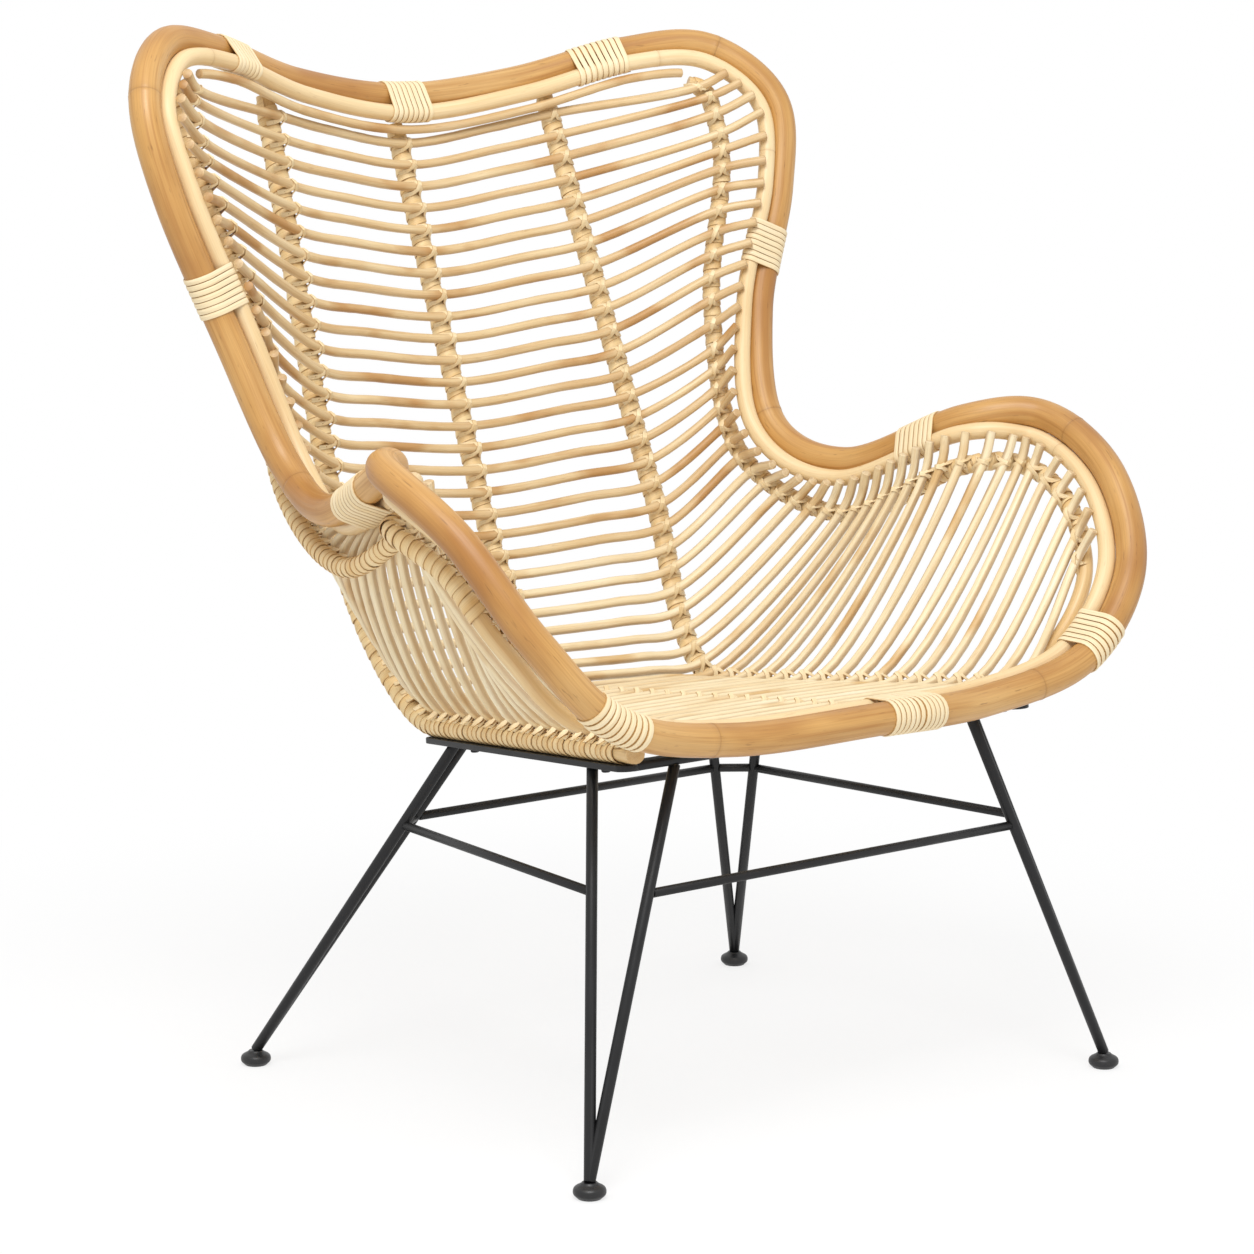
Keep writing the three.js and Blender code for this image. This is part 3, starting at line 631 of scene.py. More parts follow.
@dataclass(frozen=True)
class CaneFinish(Finish):
    """Split cane: fine fibres along the strip, and painted shade on its edges and its lower side, where the
    strips meet and lie on the pole.
    """

    pale: Colour
    body: Colour
    # Colour of the fibres, and of the painted shade on the edges and the lower side
    edge: Colour
    half_width: float
    tint_noise: Noise = Noise(60.0, 9.0, 2.0)
    fibre_noise: Noise = Noise(1700.0, 20.0, 2.0)
    body_range: Range = (0.35, 0.68)
    fibre_range: Range = (0.4, 0.8)
    # Painted shade on the lower side of the strip, which lies against the pole or the strip below
    below_range: Range = (-0.1 * MM, -0.5 * MM)
    edge_from: float = 0.86
    fibres: float = 0.4
    edges: float = 0.6
    roughness: float = 0.5
    rough_spread: Range = (-0.06, 0.1)
    bump_strength: float = 0.3
    bump_depth: float = 0.3 * MM

    def dress(self, sheet: NodeSheet) -> None:
        """Adds the fibres, and the painted shade on the edges and on the inner face.

        Args:
            sheet: The nodes of the new material.
        """
        grain = sheet.attribute(GRAIN).outputs["Vector"]
        place = sheet.add("ShaderNodeSeparateXYZ", {"Vector": grain}).outputs
        fibre = sheet.noise(grain, self.fibre_noise)
        painted_edge_shade = (self.edge_from * self.half_width, self.half_width)
        colour = sheet.tint(self.pale, self.body, sheet.noise(grain, self.tint_noise), self.body_range)
        for value, over, amount in (
            (fibre, self.fibre_range, self.fibres),
            # Painted shade along both edges and on the lower side, where the strips meet and lie on the pole
            (sheet.math("ABSOLUTE", place["X"]), painted_edge_shade, self.edges),
            (place["Y"], self.below_range, 1.0),
        ):
            colour = sheet.tint(colour, self.edge, value, over, amount)
        sheet.surface(colour, fibre, self.roughness, self.rough_spread)
        sheet.bump(fibre, self.bump_strength, self.bump_depth)


@dataclass(frozen=True)
class PaintFinish(Finish):
    """Matte black paint or moulded black plastic with a fine grain."""

    body: Colour
    pale: Colour
    metallic: float
    roughness: float
    speck_noise: Noise
    cloud_noise: Noise = Noise(30.0, 30.0, 3.0)
    cloud_range: Range = (0.35, 0.7)
    speck_range: Range = (0.55, 0.8)
    clouds: float = 0.6
    specks: float = 0.5
    rough_spread: Range = (-0.05, 0.06)
    bump_strength: float = 0.25
    bump_depth: float = 0.2 * MM

    def dress(self, sheet: NodeSheet) -> None:
        """Adds the clouds and the specks.

        Args:
            sheet: The nodes of the new material.
        """
        place = sheet.add("ShaderNodeTexCoord").outputs["Object"]
        cloud = sheet.noise(place, self.cloud_noise)
        speck = sheet.noise(place, self.speck_noise)
        colour = sheet.tint(self.body, self.pale, cloud, self.cloud_range, self.clouds)
        colour = sheet.tint(colour, self.pale, speck, self.speck_range, self.specks)
        sheet.surface(colour, cloud, self.roughness, self.rough_spread)
        sheet.shader.inputs["Metallic"].default_value = self.metallic
        sheet.bump(speck, self.bump_strength, self.bump_depth)


RIM_FINISH = RattanFinish(
    "honey_rattan_pole", "rim_pole",
    pale=linear(219, 177, 114), body=linear(205, 156, 88),
    dark=linear(172, 118, 56), ring=linear(120, 78, 37),
    dark_range=(0.5, 0.68), streaks=0.75, flecks=0.5, roughness=0.42, coat=0.08,
)
HOOP_FINISH = RattanFinish(
    "pale_rattan_pole", "hoop_pole",
    pale=linear(244, 224, 183), body=linear(237, 211, 163),
    dark=linear(222, 188, 132), ring=linear(176, 134, 84),
    dark_range=(0.58, 0.8),
)
BACK_ROD_FINISH = RattanFinish(
    "straw_rattan_rod", "rod",
    pale=linear(238, 219, 178), body=linear(225, 198, 150),
    dark=linear(192, 147, 90), ring=linear(150, 104, 58),
    blotch_noise=Noise(16.0, 8.0, 3.0), dark_range=(0.53, 0.62), shaded_sides=0.2,
)
# Seat and arm rods: a copy of the rod finish painted paler, as lit from above, with fewer dark blotches and
# more painted shade on the sides
LIT_SEAT_ROD_FINISH = RattanFinish(
    "pale_straw_rattan_rod", "rod",
    pale=linear(250, 239, 208), body=linear(244, 227, 187),
    dark=linear(216, 180, 124), ring=linear(158, 114, 66),
    blotch_noise=Noise(16.0, 8.0, 3.0), dark_range=(0.56, 0.66), shaded_sides=0.45,
)
RIB_FINISH = RattanFinish(
    "bare_rib_pole", "wrapped_rib",
    pale=linear(240, 217, 168), body=linear(228, 195, 138),
    dark=linear(202, 157, 96), ring=linear(154, 108, 60),
)
BINDING_FINISH = CaneFinish(
    "cream_binding_cane", "cane",
    pale=linear(245, 229, 193), body=linear(238, 215, 169), edge=linear(196, 158, 104), half_width=2.8 * MM,
)
WRAP_FINISH = CaneFinish(
    "rib_wrapping_cane", "wrapped_rib",
    pale=linear(243, 219, 169), body=linear(229, 193, 132), edge=linear(168, 122, 68), half_width=6.0 * MM,
)
TIE_FINISH = CaneFinish(
    "tying_cane", "cane",
    pale=linear(245, 228, 189), body=linear(235, 209, 160), edge=linear(186, 144, 90), half_width=2.5 * MM,
)
STEEL_FINISH = PaintFinish(
    "matte_black_steel", "steel",
    body=linear(16, 16, 17), pale=linear(31, 31, 33), metallic=0.2, roughness=0.46,
    speck_noise=Noise(900.0, 900.0, 2.0),
)
FOOT_FINISH = PaintFinish(
    "black_moulded_foot", "foot",
    body=linear(22, 22, 23), pale=linear(36, 36, 38), metallic=0.0, roughness=0.42,
    speck_noise=Noise(1400.0, 1400.0, 2.0),
)


def place_piece(mesh: bpy.types.Mesh, finish: Finish, *nodes: str) -> bpy.types.Object:
    """Adds a finished mesh to the chair.

    Args:
        mesh: The mesh, whose name the piece takes.
        finish: What it is dressed in.
        *nodes: The solids that it stands for.

    Returns:
        The piece.
    """
    piece = bpy.data.objects.new(mesh.name, mesh)
    bpy.context.scene.collection.objects.link(piece)
    mesh.materials.append(finish.material())
    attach(piece, BODY)
    if nodes:
        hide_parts(*nodes)
    LOG.info("%s: %d faces", piece.name, len(mesh.polygons))
    return piece


@dataclass(frozen=True)
class RimSizes:
    """The sizes of the rim on the right half, each list from the dip in the top round to the front."""

    half_widths: tuple[float, ...] = (0.0, 0.360, 0.415, 0.324, 0.428, 0.302, 0.0)
    reaches: tuple[float, ...] = (0.380, 0.233, -0.185, -0.382)
    heights: tuple[float, ...] = (0.985, 1.040, 0.593, 0.654, 0.405)

    @staticmethod
    def at(sizes: tuple[float, ...], place: float) -> float:
        """A size by its place in a list: 1.5 is halfway from the second to the third."""
        span = min(int(place), len(sizes) - 2)
        return sizes[span] + (sizes[span + 1] - sizes[span]) * (place - span)

    def point(self, width: float, reach: float, height: float) -> Vector:
        """A point of the rim by its places in the three lists."""
        lists = ((self.half_widths, width), (self.reaches, reach), (self.heights, height))
        return Vector([self.at(sizes, place) for sizes, place in lists])


@dataclass(frozen=True)
class Station:
    """A place of the rim on the right half, by its places in the lists of sizes.

    It also has the way from the rim to the hoop, and from the rim to the wing rib.
    """

    rim: Triple
    into: Triple
    rib: Triple


STATIONS = (
    Station((0, 0, 0), (0, -0.74, -0.67), (0, -0.5, -0.875)),
    Station((0.403, 0.088, 0.309), (-0.06, -0.84, -0.54), (0, -0.5, -0.875)),
    Station((0.75, 0.361, 0.909), (-0.23, -0.84, -0.5), (0, -0.45, -0.9)),
    Station((1, 0.646, 1), (-0.57, -0.52, -0.64), (-0.5, -0.15, -1.1)),
    Station((2, 1, 1.13), (-0.97, -0.09, -0.22), (-1.6, 0.625, -0.725)),
    Station((2.143, 1.057, 1.349), (-0.95, -0.14, 0.29), (-1.45, 0.8, 0.25)),
    Station((2.692, 1.112, 1.649), (-0.94, -0.09, 0.32), (-1.15, 0.675, 0.15)),
    Station((3, 1.244, 1.922), (-0.9, 0.1, -0.1), (-0.5, 0.8, -0.8)),
    Station((3.183, 1.493, 2), (-0.75, -0.1, -0.65), (-0.3, -0.175, -1.4)),
    Station((3.49, 1.835, 2.902), (-0.73, -0.4, -0.55), (-0.5, -0.4, -1.2)),
    Station((4, 2, 3), (-0.45, 0.3, -0.8), (-0.35, 0.3, -1.35)),
    Station((4.048, 2.503, 3.205), (-0.5, 0.75, -0.45), (-0.45, 0.95, -0.975)),
    Station((4.341, 2.838, 3.566), (-0.55, 0.8, 0.1), (-0.275, 1.35, -0.45)),
    Station((5, 2.924, 3.892), (-0.35, 0.9, 0.2), (-0.1, 1.425, 0)),
    Station((5.454, 2.919, 4.008), (-0.1, 0.95, 0.25), (0, 1.425, 0)),
    Station((6, 3, 4), (0, 0.95, 0.25), (0, 1.425, 0)),
)
FRONT_STATION = len(STATIONS) - 1
STATIONS_ROUND = 2 * FRONT_STATION
FRONT_FOOT = millimetres(340, -369, 0)
BACK_FOOT = millimetres(328, 195, 0)


def left_station(station: float) -> float:
    """The station on the left half that answers to one on the right half."""
    return STATIONS_ROUND - station


def solids_shift() -> Vector:
    """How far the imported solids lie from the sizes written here, which start at the seat's middle.

    Returns:
        The way from a place written here to the same place on the solids.
    """
    low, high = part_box("foot_front_right")
    middle = (low + high) / 2
    return Vector((middle.x, middle.y, low.z)) - FRONT_FOOT


@dataclass(frozen=True)
class RimFrame:
    """The rim's centre at a station, with the ways along it, to the hoop and towards the sitter."""

    centre: Vector
    tangent: Vector
    into: Vector
    facing: Vector


@dataclass(frozen=True)
class Shell:
    """The lines that the rim, the hoop and the wing ribs follow, and the rattan's diameters."""

    shift: Vector
    sizes: RimSizes = RimSizes()
    wing_rib_reach: float = 40 * MM
    rim_diameter: float = 32 * MM
    hoop_diameter: float = 18 * MM
    rib_diameter: float = 19 * MM
    rod_diameter: float = 10 * MM
    hoop_gap: float = 0.0

    @property
    def hoop_inset(self) -> float:
        """From the rim's centre line to the hoop's."""
        return (self.rim_diameter + self.hoop_diameter) / 2 + self.hoop_gap

    @staticmethod
    def closed(right: list[Vector]) -> ClosedLine:
        """A closed line from its points on the right half."""
        left = [Side.LEFT.of(point) for point in reversed(right[1:FRONT_STATION])]
        return ClosedLine(tuple(right + left))

    @cached_property
    def rim_line(self) -> ClosedLine:
        """The rim's centre line."""
        return self.closed([self.sizes.point(*station.rim) for station in STATIONS])

    @cached_property
    def into_line(self) -> ClosedLine:
        """The way from the rim to the hoop, along the rim."""
        return self.closed([Vector(station.into) for station in STATIONS])

    @cached_property
    def rib_offset_line(self) -> ClosedLine:
        """The wing rib's offset from the rim, along the rim."""
        return self.closed([Vector(station.rib) * self.wing_rib_reach for station in STATIONS])

    def rim(self, station: float) -> Vector:
        """The rim's centre at a station."""
        return self.rim_line.at(station) + self.shift

    def rim_frame(self, station: float) -> RimFrame:
        """The rim's centre with its ways.

        Args:
            station: Where on the rim.

        Returns:
            The centre and the ways there.
        """
        tangent = velocity(self.rim, station).normalized()
        into = self.into_line.at(station)
        into = (into - tangent * into.dot(tangent)).normalized()
        return RimFrame(self.rim(station), tangent, into, into.cross(tangent))

    def hoop(self, station: float) -> Vector:
        """The hoop's centre at a station."""
        place = self.rim_frame(station)
        return place.centre + place.into * self.hoop_inset

    def wing_rib(self, station: float) -> Vector:
        """The wing rib's centre at a station."""
        return self.rim(station) + self.rib_offset_line.at(station)


@dataclass(frozen=True)
class Binding:
    """A winding of cane: its solid, its station on the rim, its turns, and turns before a parting."""

    node: str
    station: float
    turns: int
    parting: int = 0


BINDING_PITCH = 6.3 * MM
BINDINGS = (
    Binding("binding_top_centre", 0.0, 8),
    Binding("binding_top_right", 1.74, 9),
    Binding("binding_top_left", left_station(1.82), 7),
    Binding("binding_wing_right", 5.53, 8),
    Binding("binding_wing_left", left_station(5.67), 7),
    Binding("binding_arm_right", 8.66, 8),
    Binding("binding_arm_left", left_station(8.45), 9),
    Binding("binding_front_right", 12.8, 7),
    Binding("binding_front_left", left_station(12.95), 9),
    Binding("binding_front", 14.71, 11, parting=6),
)


def binding_station(node: str) -> float:
    """The station of a binding by its name."""
    return next(binding.station for binding in BINDINGS if binding.node == node)


@dataclass
class Poles:
    """The poles of the rim and the hoop, round and with growth rings."""

    shell: Shell
    rim_sides: int = 28
    hoop_sides: int = 20
    stop_spacing: float = 0.055
    joint_gap: float = 0.6 * MM
    ring_margin: float = 0.01
    # Millimetres from the middle of a growth ring, the pole's swelling there and the ring's darkness
    ring_shape: tuple[Triple, ...] = (
        (-7.0, 1.0, 0.0), (-3.5, 1.016, 0.04), (-1.2, 1.025, 0.1), (0.0, 0.995, 0.38),
        (1.2, 1.01, 0.14), (4.0, 1.004, 0.05), (8.0, 1.0, 0.0),
    )

    def build(self) -> None:
        """Builds the three poles of the rim and the two of the hoop, with the stations of their rings."""
        right = binding_station("binding_arm_right")
        left = binding_station("binding_arm_left")
        front = binding_station("binding_front")
        rim, hoop = self.shell.rim, self.shell.hoop
        for pole in (
            ("rim_pole_back", "rim_back_pole", rim, left - STATIONS_ROUND, right, (-7.28, -3.9, 3.1, 6.9)),
            ("rim_pole_right", "rim_arm_pole_right", rim, right, front, (10.4, 13.55)),
            ("rim_pole_left", "rim_arm_pole_left", rim, front, left, (16.2, 20.3)),
            ("hoop_rattan_right", "hoop_pole_right", hoop, 0.0, front, (2.3, 4.7, 10.4)),
            ("hoop_rattan_left", "hoop_pole_left", hoop, front, float(STATIONS_ROUND), (16.4, 22.1, 27.6)),
        ):
            self.pole(*pole)

    def pole(
        self, name: str, node: str, place: Place, start: float, end: float, rings: Sequence[float],
    ) -> None:
        """Builds one pole.

        Args:
            name: The piece's name.
            node: The solid that it stands for.
            place: The line that it follows.
            start: The station where it starts.
            end: The station where it ends.
            rings: The stations of its growth rings.
        """
        on_rim = node.startswith("rim")
        start += self.joint_gap / 2 / velocity(place, start).length
        end -= self.joint_gap / 2 / velocity(place, end).length
        count = round((end - start) / self.stop_spacing)
        stops = {start + (end - start) * i / count: (1.0, 0.0) for i in range(count + 1)}
        for ring in rings:
            reach = velocity(place, ring).length
            shape = {ring + off * MM / reach: (scale, mark) for off, scale, mark in self.ring_shape}
            low, high = min(shape) - self.ring_margin, max(shape) + self.ring_margin
            stops = {at: value for at, value in stops.items() if not low < at < high} | shape
        ordered = sorted(stops)
        radius = (self.shell.rim_diameter if on_rim else self.shell.hoop_diameter) / 2
        section = round_section(radius, self.rim_sides if on_rim else self.hoop_sides)
        sweep = Sweep(name)
        frames = travel_frames([place(at) for at in ordered])
        scales, marks = zip(*(stops[at] for at in ordered))
        sweep.roll(section, frames, scales, marks, first_run=start)
        place_piece(sweep.finish(), RIM_FINISH if on_rim else HOOP_FINISH, node)


@dataclass
class Bindings:
    """The cane strips wound round the rim and the hoop."""

    shell: Shell
    width: float = 5.7 * MM
    thickness: float = 1.5 * MM
    pitch: float = BINDING_PITCH
    parting_gap: float = 2.2 * MM
    stand_off: float = 0.25 * MM
    rim_steps: int = 12
    hoop_steps: int = 8
    sparse_step: int = 3

    @cached_property
    def turn(self) -> list[tuple[Vector, Vector]]:
        """One turn round the hoop and the rim, in the plane across the rim.

        Returns:
            Places of the strip's middle, each with the way out of its face.
        """
        lean = math.asin((self.shell.rim_diameter - self.shell.hoop_diameter) / 2 / self.shell.hoop_inset)
        half = math.pi / 2 - lean
        on_rim = self.arc(self.shell.rim_diameter, 0.0, half, 2 * math.pi - half, self.rim_steps)
        on_hoop = self.arc(self.shell.hoop_diameter, self.shell.hoop_inset, -half, half, self.hoop_steps)
        return on_hoop + on_rim

    def arc(
        self, diameter: float, middle: float, start: float, end: float, steps: int,
    ) -> list[tuple[Vector, Vector]]:
        """The part of a turn that lies on one pole.

        Args:
            diameter: The pole's diameter.
            middle: How far its centre is from the rim's centre.
            start: The angle where the strip meets the pole.
            end: The angle where it leaves the pole.
            steps: How many steps the arc has.

        Returns:
            The places and the ways out.
        """
        reach = diameter / 2 + self.stand_off + self.thickness / 2
        places = []
        for i in range(steps + 1):
            angle = start + (end - start) * i / steps
            out = Vector((math.cos(angle), math.sin(angle)))
            places.append((Vector((middle, 0.0)) + out * reach, out))
        return places

    def on_rim(self, station: float, place: Vector) -> Vector:
        """A point of a turn at a station."""
        here = self.shell.rim_frame(station)
        return here.centre + here.into * place.x + here.facing * place.y

    def least_reach(self, station: float) -> float:
        """How far a turn moves per station where it moves least, which is inside a bend."""
        sparse = self.turn[::self.sparse_step]
        return min(velocity(lambda at: self.on_rim(at, place), station).length for place, _ in sparse)

    def build(self) -> None:
        """Builds each binding."""
        for binding in BINDINGS:
            self.wind(binding)

    def wind(self, binding: Binding) -> None:
        """Winds one binding as an unbroken strip.

        Args:
            binding: The binding.
        """
        count = binding.turns * len(self.turn)
        reach = self.least_reach(binding.station)
        length = binding.turns * self.pitch + (self.parting_gap if binding.parting else 0.0)
        station = binding.station - length / 2 / reach
        frames = []
        for i in range(count + 1):
            place, out = self.turn[i % len(self.turn)]
            here = self.shell.rim_frame(station)
            face = here.into * out.x + here.facing * out.y
            frames.append(axes_at(self.on_rim(station, place), here.tangent, face, here.tangent.cross(face)))
            advance = self.pitch / len(self.turn)
            if binding.parting and i // len(self.turn) == binding.parting - 1:
                advance += self.parting_gap / len(self.turn)
            station += advance / reach
        sweep = Sweep(binding.node.replace("binding", "cane"))
        sweep.roll(cane_section(self.width, self.thickness), frames)
        place_piece(sweep.finish(CANE_SHARP_DEGREES), BINDING_FINISH, binding.node)


@dataclass(frozen=True)
class Crossing:
    """Where a rod crosses a rib or the hoop, in the right half."""

    place: Vector
    tangent: Vector
    lift: float


@dataclass(frozen=True)
class Tie:
    """Where a rod is tied to a rib: the rib's centre there, its ways, and the rod's height above it."""

    centre: Vector
    along_rib: Vector
    along_rod: Vector
    facing: Vector
    lift: float

    def on(self, side: Side) -> "Tie":
        """This tie on one half of the chair."""
        turned = (side.of(way) for way in (self.centre, self.along_rib, self.along_rod, self.facing))
        return Tie(*turned, self.lift)


# A rod's line has five knots on each half and shares the middle one; all but the fourth are crossings
ROD_SPANS = 8
CROSSED_KNOTS = (0, 1, 2, 4)


@dataclass
class Weave:
    """Where the ribs and the rods run."""

    shell: Shell
    base: "SteelBase"
    rod_count: int = 44
    wing_rod_count: int = 14
    front_rod_count: int = 6
    rods_in_group: int = 4
    first_rod_below_rib_top: float = 26 * MM
    last_rod_from_rib_front: float = 12 * MM
    first_rod_station: float = 3.0
    waist_rod_station: float = 6.3
    arm_rod_station: float = 9.8
    last_rod_station: float = 11.8
    spacing_share: float = 0.4
    spacing_steps: int = 400
    # Stations on the wing rib, and how many stations further round the hoop a rod from there ends
    end_leans: tuple[Range, ...] = (
        (3.0, 0.35), (3.3, 0.22), (3.6, 0.08), (4.0, -0.04), (4.5, -0.1), (6.3, -0.1), (6.8, 0.06),
        (7.2, 0.18), (7.8, 0.18), (8.4, 0.1), (9.0, 0.04), (9.5, 0.0), (10.6, 0.0), (11.8, -0.2),
    )
    level_share: float = 0.4
    back_bow: float = 8 * MM
    wing_rib_first: float = 2.8
    wing_rib_last: float = 13.0
    wing_rib_dip: float = 8 * MM
    wing_rib_dips_after: float = 0.1
    inner_rib_top: float = 1.33
    rib_bend_handle: float = 75 * MM
    rib_bend_steps: int = 60
    rib_front_beyond_base: float = 20 * MM
    rib_top_from_hoop: Vector = millimetres(0, 28, -13)
    inner_rib_bend: Vector = millimetres(214, 202, 545)
    centre_rib_bend: Vector = millimetres(0, 232, 540)
    touch_gap: float = 0.3 * MM
    rod_gap: float = 0.6 * MM
    cane_over_hoop: float = 2.4 * MM
    binding_margin: float = 0.005
    solid_rib_sides: int = 6

    def back_and_seat(self, top: Vector, bend: Vector, seat_back: Vector, seat_front: Vector) -> Route:
        """The line of a rib that runs down the back, bends, and runs forward under the seat.

        Args:
            top: Its upper end.
            bend: Where the back part ends.
            seat_back: Where the seat part starts.
            seat_front: Its front end.

        Returns:
            The line.
        """
        down = (bend - top).normalized()
        forward = (seat_front - seat_back).normalized()
        from_back = bend + down * self.rib_bend_handle
        into_seat = seat_back - forward * self.rib_bend_handle
        leave, arrive = 3 * (from_back - bend), 3 * (seat_back - into_seat)
        shares = (i / self.rib_bend_steps for i in range(self.rib_bend_steps + 1))
        turn = [hermite(bend, seat_back, leave, arrive, share) for share in shares]
        return Route((top, *turn, seat_front))

    @cached_property
    def inner_rib(self) -> Route:
        """The right inner rib, which lies on the rail.

        Returns:
            Its line from the top.
        """
        to_rib = self.base.rail_thickness / 2 + self.shell.rib_diameter / 2 + self.touch_gap
        on_back = self.base.rail_back + self.base.rail_up * to_rib
        on_front = self.base.rail_front + self.base.rail_up * to_rib
        on_front += self.base.rail_forward * self.rib_front_beyond_base
        top = self.shell.hoop(self.inner_rib_top) + self.rib_top_from_hoop
        return self.back_and_seat(top, self.inner_rib_bend + self.shell.shift, on_back, on_front)

    @property
    def centre_rib_reach(self) -> float:
        """From the centre rib's middle to the rods and the bars that touch it."""
        return self.shell.rib_diameter / 2 * math.cos(math.pi / self.solid_rib_sides)

    @cached_property
    def centre_rib(self) -> Route:
        """The centre rib, which lies on the cross bars.

        Returns:
            Its line from the top.
        """
        back, front = (self.base.bar_middle(end) for end in (End.BACK, End.FRONT))
        forward = (front - back).normalized()
        up = Vector((0.0, self.base.rail_up.y, self.base.rail_up.z)).normalized()
        to_rib = self.base.bar_diameter / 2 + self.centre_rib_reach + self.touch_gap
        ahead = front + up * to_rib + forward * self.rib_front_beyond_base
        top = self.shell.hoop(0.0) + self.rib_top_from_hoop
        return self.back_and_seat(top, self.centre_rib_bend + self.shell.shift, back + up * to_rib, ahead)

    def wing_rib(self, station: float) -> Vector:
        """A place on the right wing rib, whose bare front end dips under the last rod.

        Args:
            station: The station on the rim.

        Returns:
            The rib's centre there.
        """
        start = self.last_rod_station + self.wing_rib_dips_after
        share = max(0.0, (station - start) / (self.wing_rib_last - start))
        dip = self.wing_rib_dip * share * share * (3 - 2 * share)
        return self.shell.wing_rib(station) - self.shell.rim_frame(station).facing * dip

    def spacing_line(self, station: float) -> Vector:
        """The line between the wing rib and the hoop along which the rods are spaced."""
        return self.shell.wing_rib(station).lerp(self.shell.hoop(station), self.spacing_share)

    @cached_property
    def rod_stations(self) -> list[float]:
        """Where the rods cross the wing rib: evenly down the wing and the arm, and wider round its front.

        Returns:
            The station of each rod from the top of the back.
        """
        arm_spaces = self.rod_count - self.wing_rod_count - self.front_rod_count
        stretches = (
            (self.first_rod_station, self.waist_rod_station, self.wing_rod_count - 1),
            (self.waist_rod_station, self.arm_rod_station, arm_spaces),
            (self.arm_rod_station, self.last_rod_station, self.front_rod_count),
        )
        stations = []
        steps = self.spacing_steps
        for start, end, spaces in stretches:
            marks = Route.along(self.spacing_line, start, end, steps + 1).marks
            for i in range(spaces):
                mark = marks[-1] * i / spaces
                span = min(bisect.bisect_right(marks, mark) - 1, steps - 1)
                share = (mark - marks[span]) / (marks[span + 1] - marks[span])
                stations.append(start + (end - start) * (span + share) / steps)
        return [*stations, self.last_rod_station]

    def rod_run(self, rib: Route, rod: int) -> float:
        """How far down a rib a rod crosses it."""
        first = self.first_rod_below_rib_top
        return first + (rib.length - self.last_rod_from_rib_front - first) * rod / (self.rod_count - 1)

    def end_station(self, station: float) -> float:
        """Where a rod ends on the hoop if it runs straight on past the wing rib.

        Args:
            station: The station where it crosses the wing rib.

        Returns:
            The station of its end.
        """
        for (start, lean), (end, next_lean) in zip(self.end_leans, self.end_leans[1:]):
            if station <= end:
                return station + lean + (next_lean - lean) * (station - start) / (end - start)
        return station

    def lift_on_hoop(self, station: float) -> float:
        """From the hoop's centre line to a rod that ends on it, over a binding where there is one.

        Args:
            station: The station of the rod's end.

        Returns:
            The distance between the two centre lines.
        """
        lift = (self.shell.hoop_diameter + self.shell.rod_diameter) / 2 + self.touch_gap
        for binding in BINDINGS:
            reach = (binding.turns / 2 + 1) * BINDING_PITCH / velocity(self.shell.rim, binding.station).length
            near = min(abs(station - binding.station), abs(left_station(station) - binding.station))
            if near < reach + self.binding_margin:
                return lift + self.cane_over_hoop
        return lift

    def crossings(self, rod: int) -> list[Crossing]:
        """Where a rod meets the hoop and the ribs.

        Args:
            rod: The rod's number from the top of the back.

        Returns:
            Its crossings with the hoop, the wing rib, the inner rib and the centre rib.
        """
        station = self.rod_stations[rod]
        on_hoop = self.end_station(station)
        lift = (self.shell.rib_diameter + self.shell.rod_diameter) / 2 + self.rod_gap
        centre_lift = self.centre_rib_reach + self.shell.rod_diameter / 2 + self.rod_gap
        crossed = (
            (self.shell.hoop, on_hoop, self.lift_on_hoop(on_hoop)),
            (self.shell.wing_rib, station, lift),
            (self.inner_rib.at, self.rod_run(self.inner_rib, rod), lift),
            (self.centre_rib.at, self.rod_run(self.centre_rib, rod), centre_lift),
        )
        return [Crossing(place(at), velocity(place, at), height) for place, at, height in crossed]

    def knots(self, places: Sequence[Vector], centre_tangent: Vector) -> list[Vector]:
        """The places of a rod from the hoop to the middle.

        Args:
            places: Its places on the hoop and the three ribs.
            centre_tangent: The way along the centre rib.

        Returns:
            Those places and one more, where a back rod bows away from the sitter.
        """
        end, wing, inner, centre = places
        tangent = centre_tangent.normalized()
        away = ACROSS.cross(tangent)
        level = inner.lerp(centre, self.level_share) + away * self.back_bow * max(0.0, -tangent.z)
        return [end, wing, inner, level, centre]

    def full_line(self, knots: Sequence[Vector]) -> OpenLine:
        """A rod's line over both halves."""
        return OpenLine((*knots, *(Side.LEFT.of(knot) for knot in reversed(knots[:-1]))))

    def rod(self, rod: int) -> tuple[OpenLine, list[Tie]]:
        """The line of a rod and its ties on the right half.

        Args:
            rod: The rod's number from the top of the back.

        Returns:
            The line, and the ties on the wing rib, the inner rib and the centre rib.
        """
        crossings = self.crossings(rod)
        knots = self.knots([crossing.place for crossing in crossings], crossings[-1].tangent)
        line = self.full_line(knots)
        raised, ties = [], []
        for crossing, knot in zip(crossings, CROSSED_KNOTS):
            # Before its start a line stands still, so the first way is taken one step on
            outward = -velocity(line.at, max(knot / ROD_SPANS, STEP)).normalized()
            along_rib = crossing.tangent.normalized()
            facing = along_rib.cross(outward).normalized()
            raised.append(crossing.place + facing * crossing.lift)
            ties.append(Tie(crossing.place, along_rib, outward, facing, crossing.lift))
        return self.full_line(self.knots(raised, crossings[-1].tangent)), ties[1:]


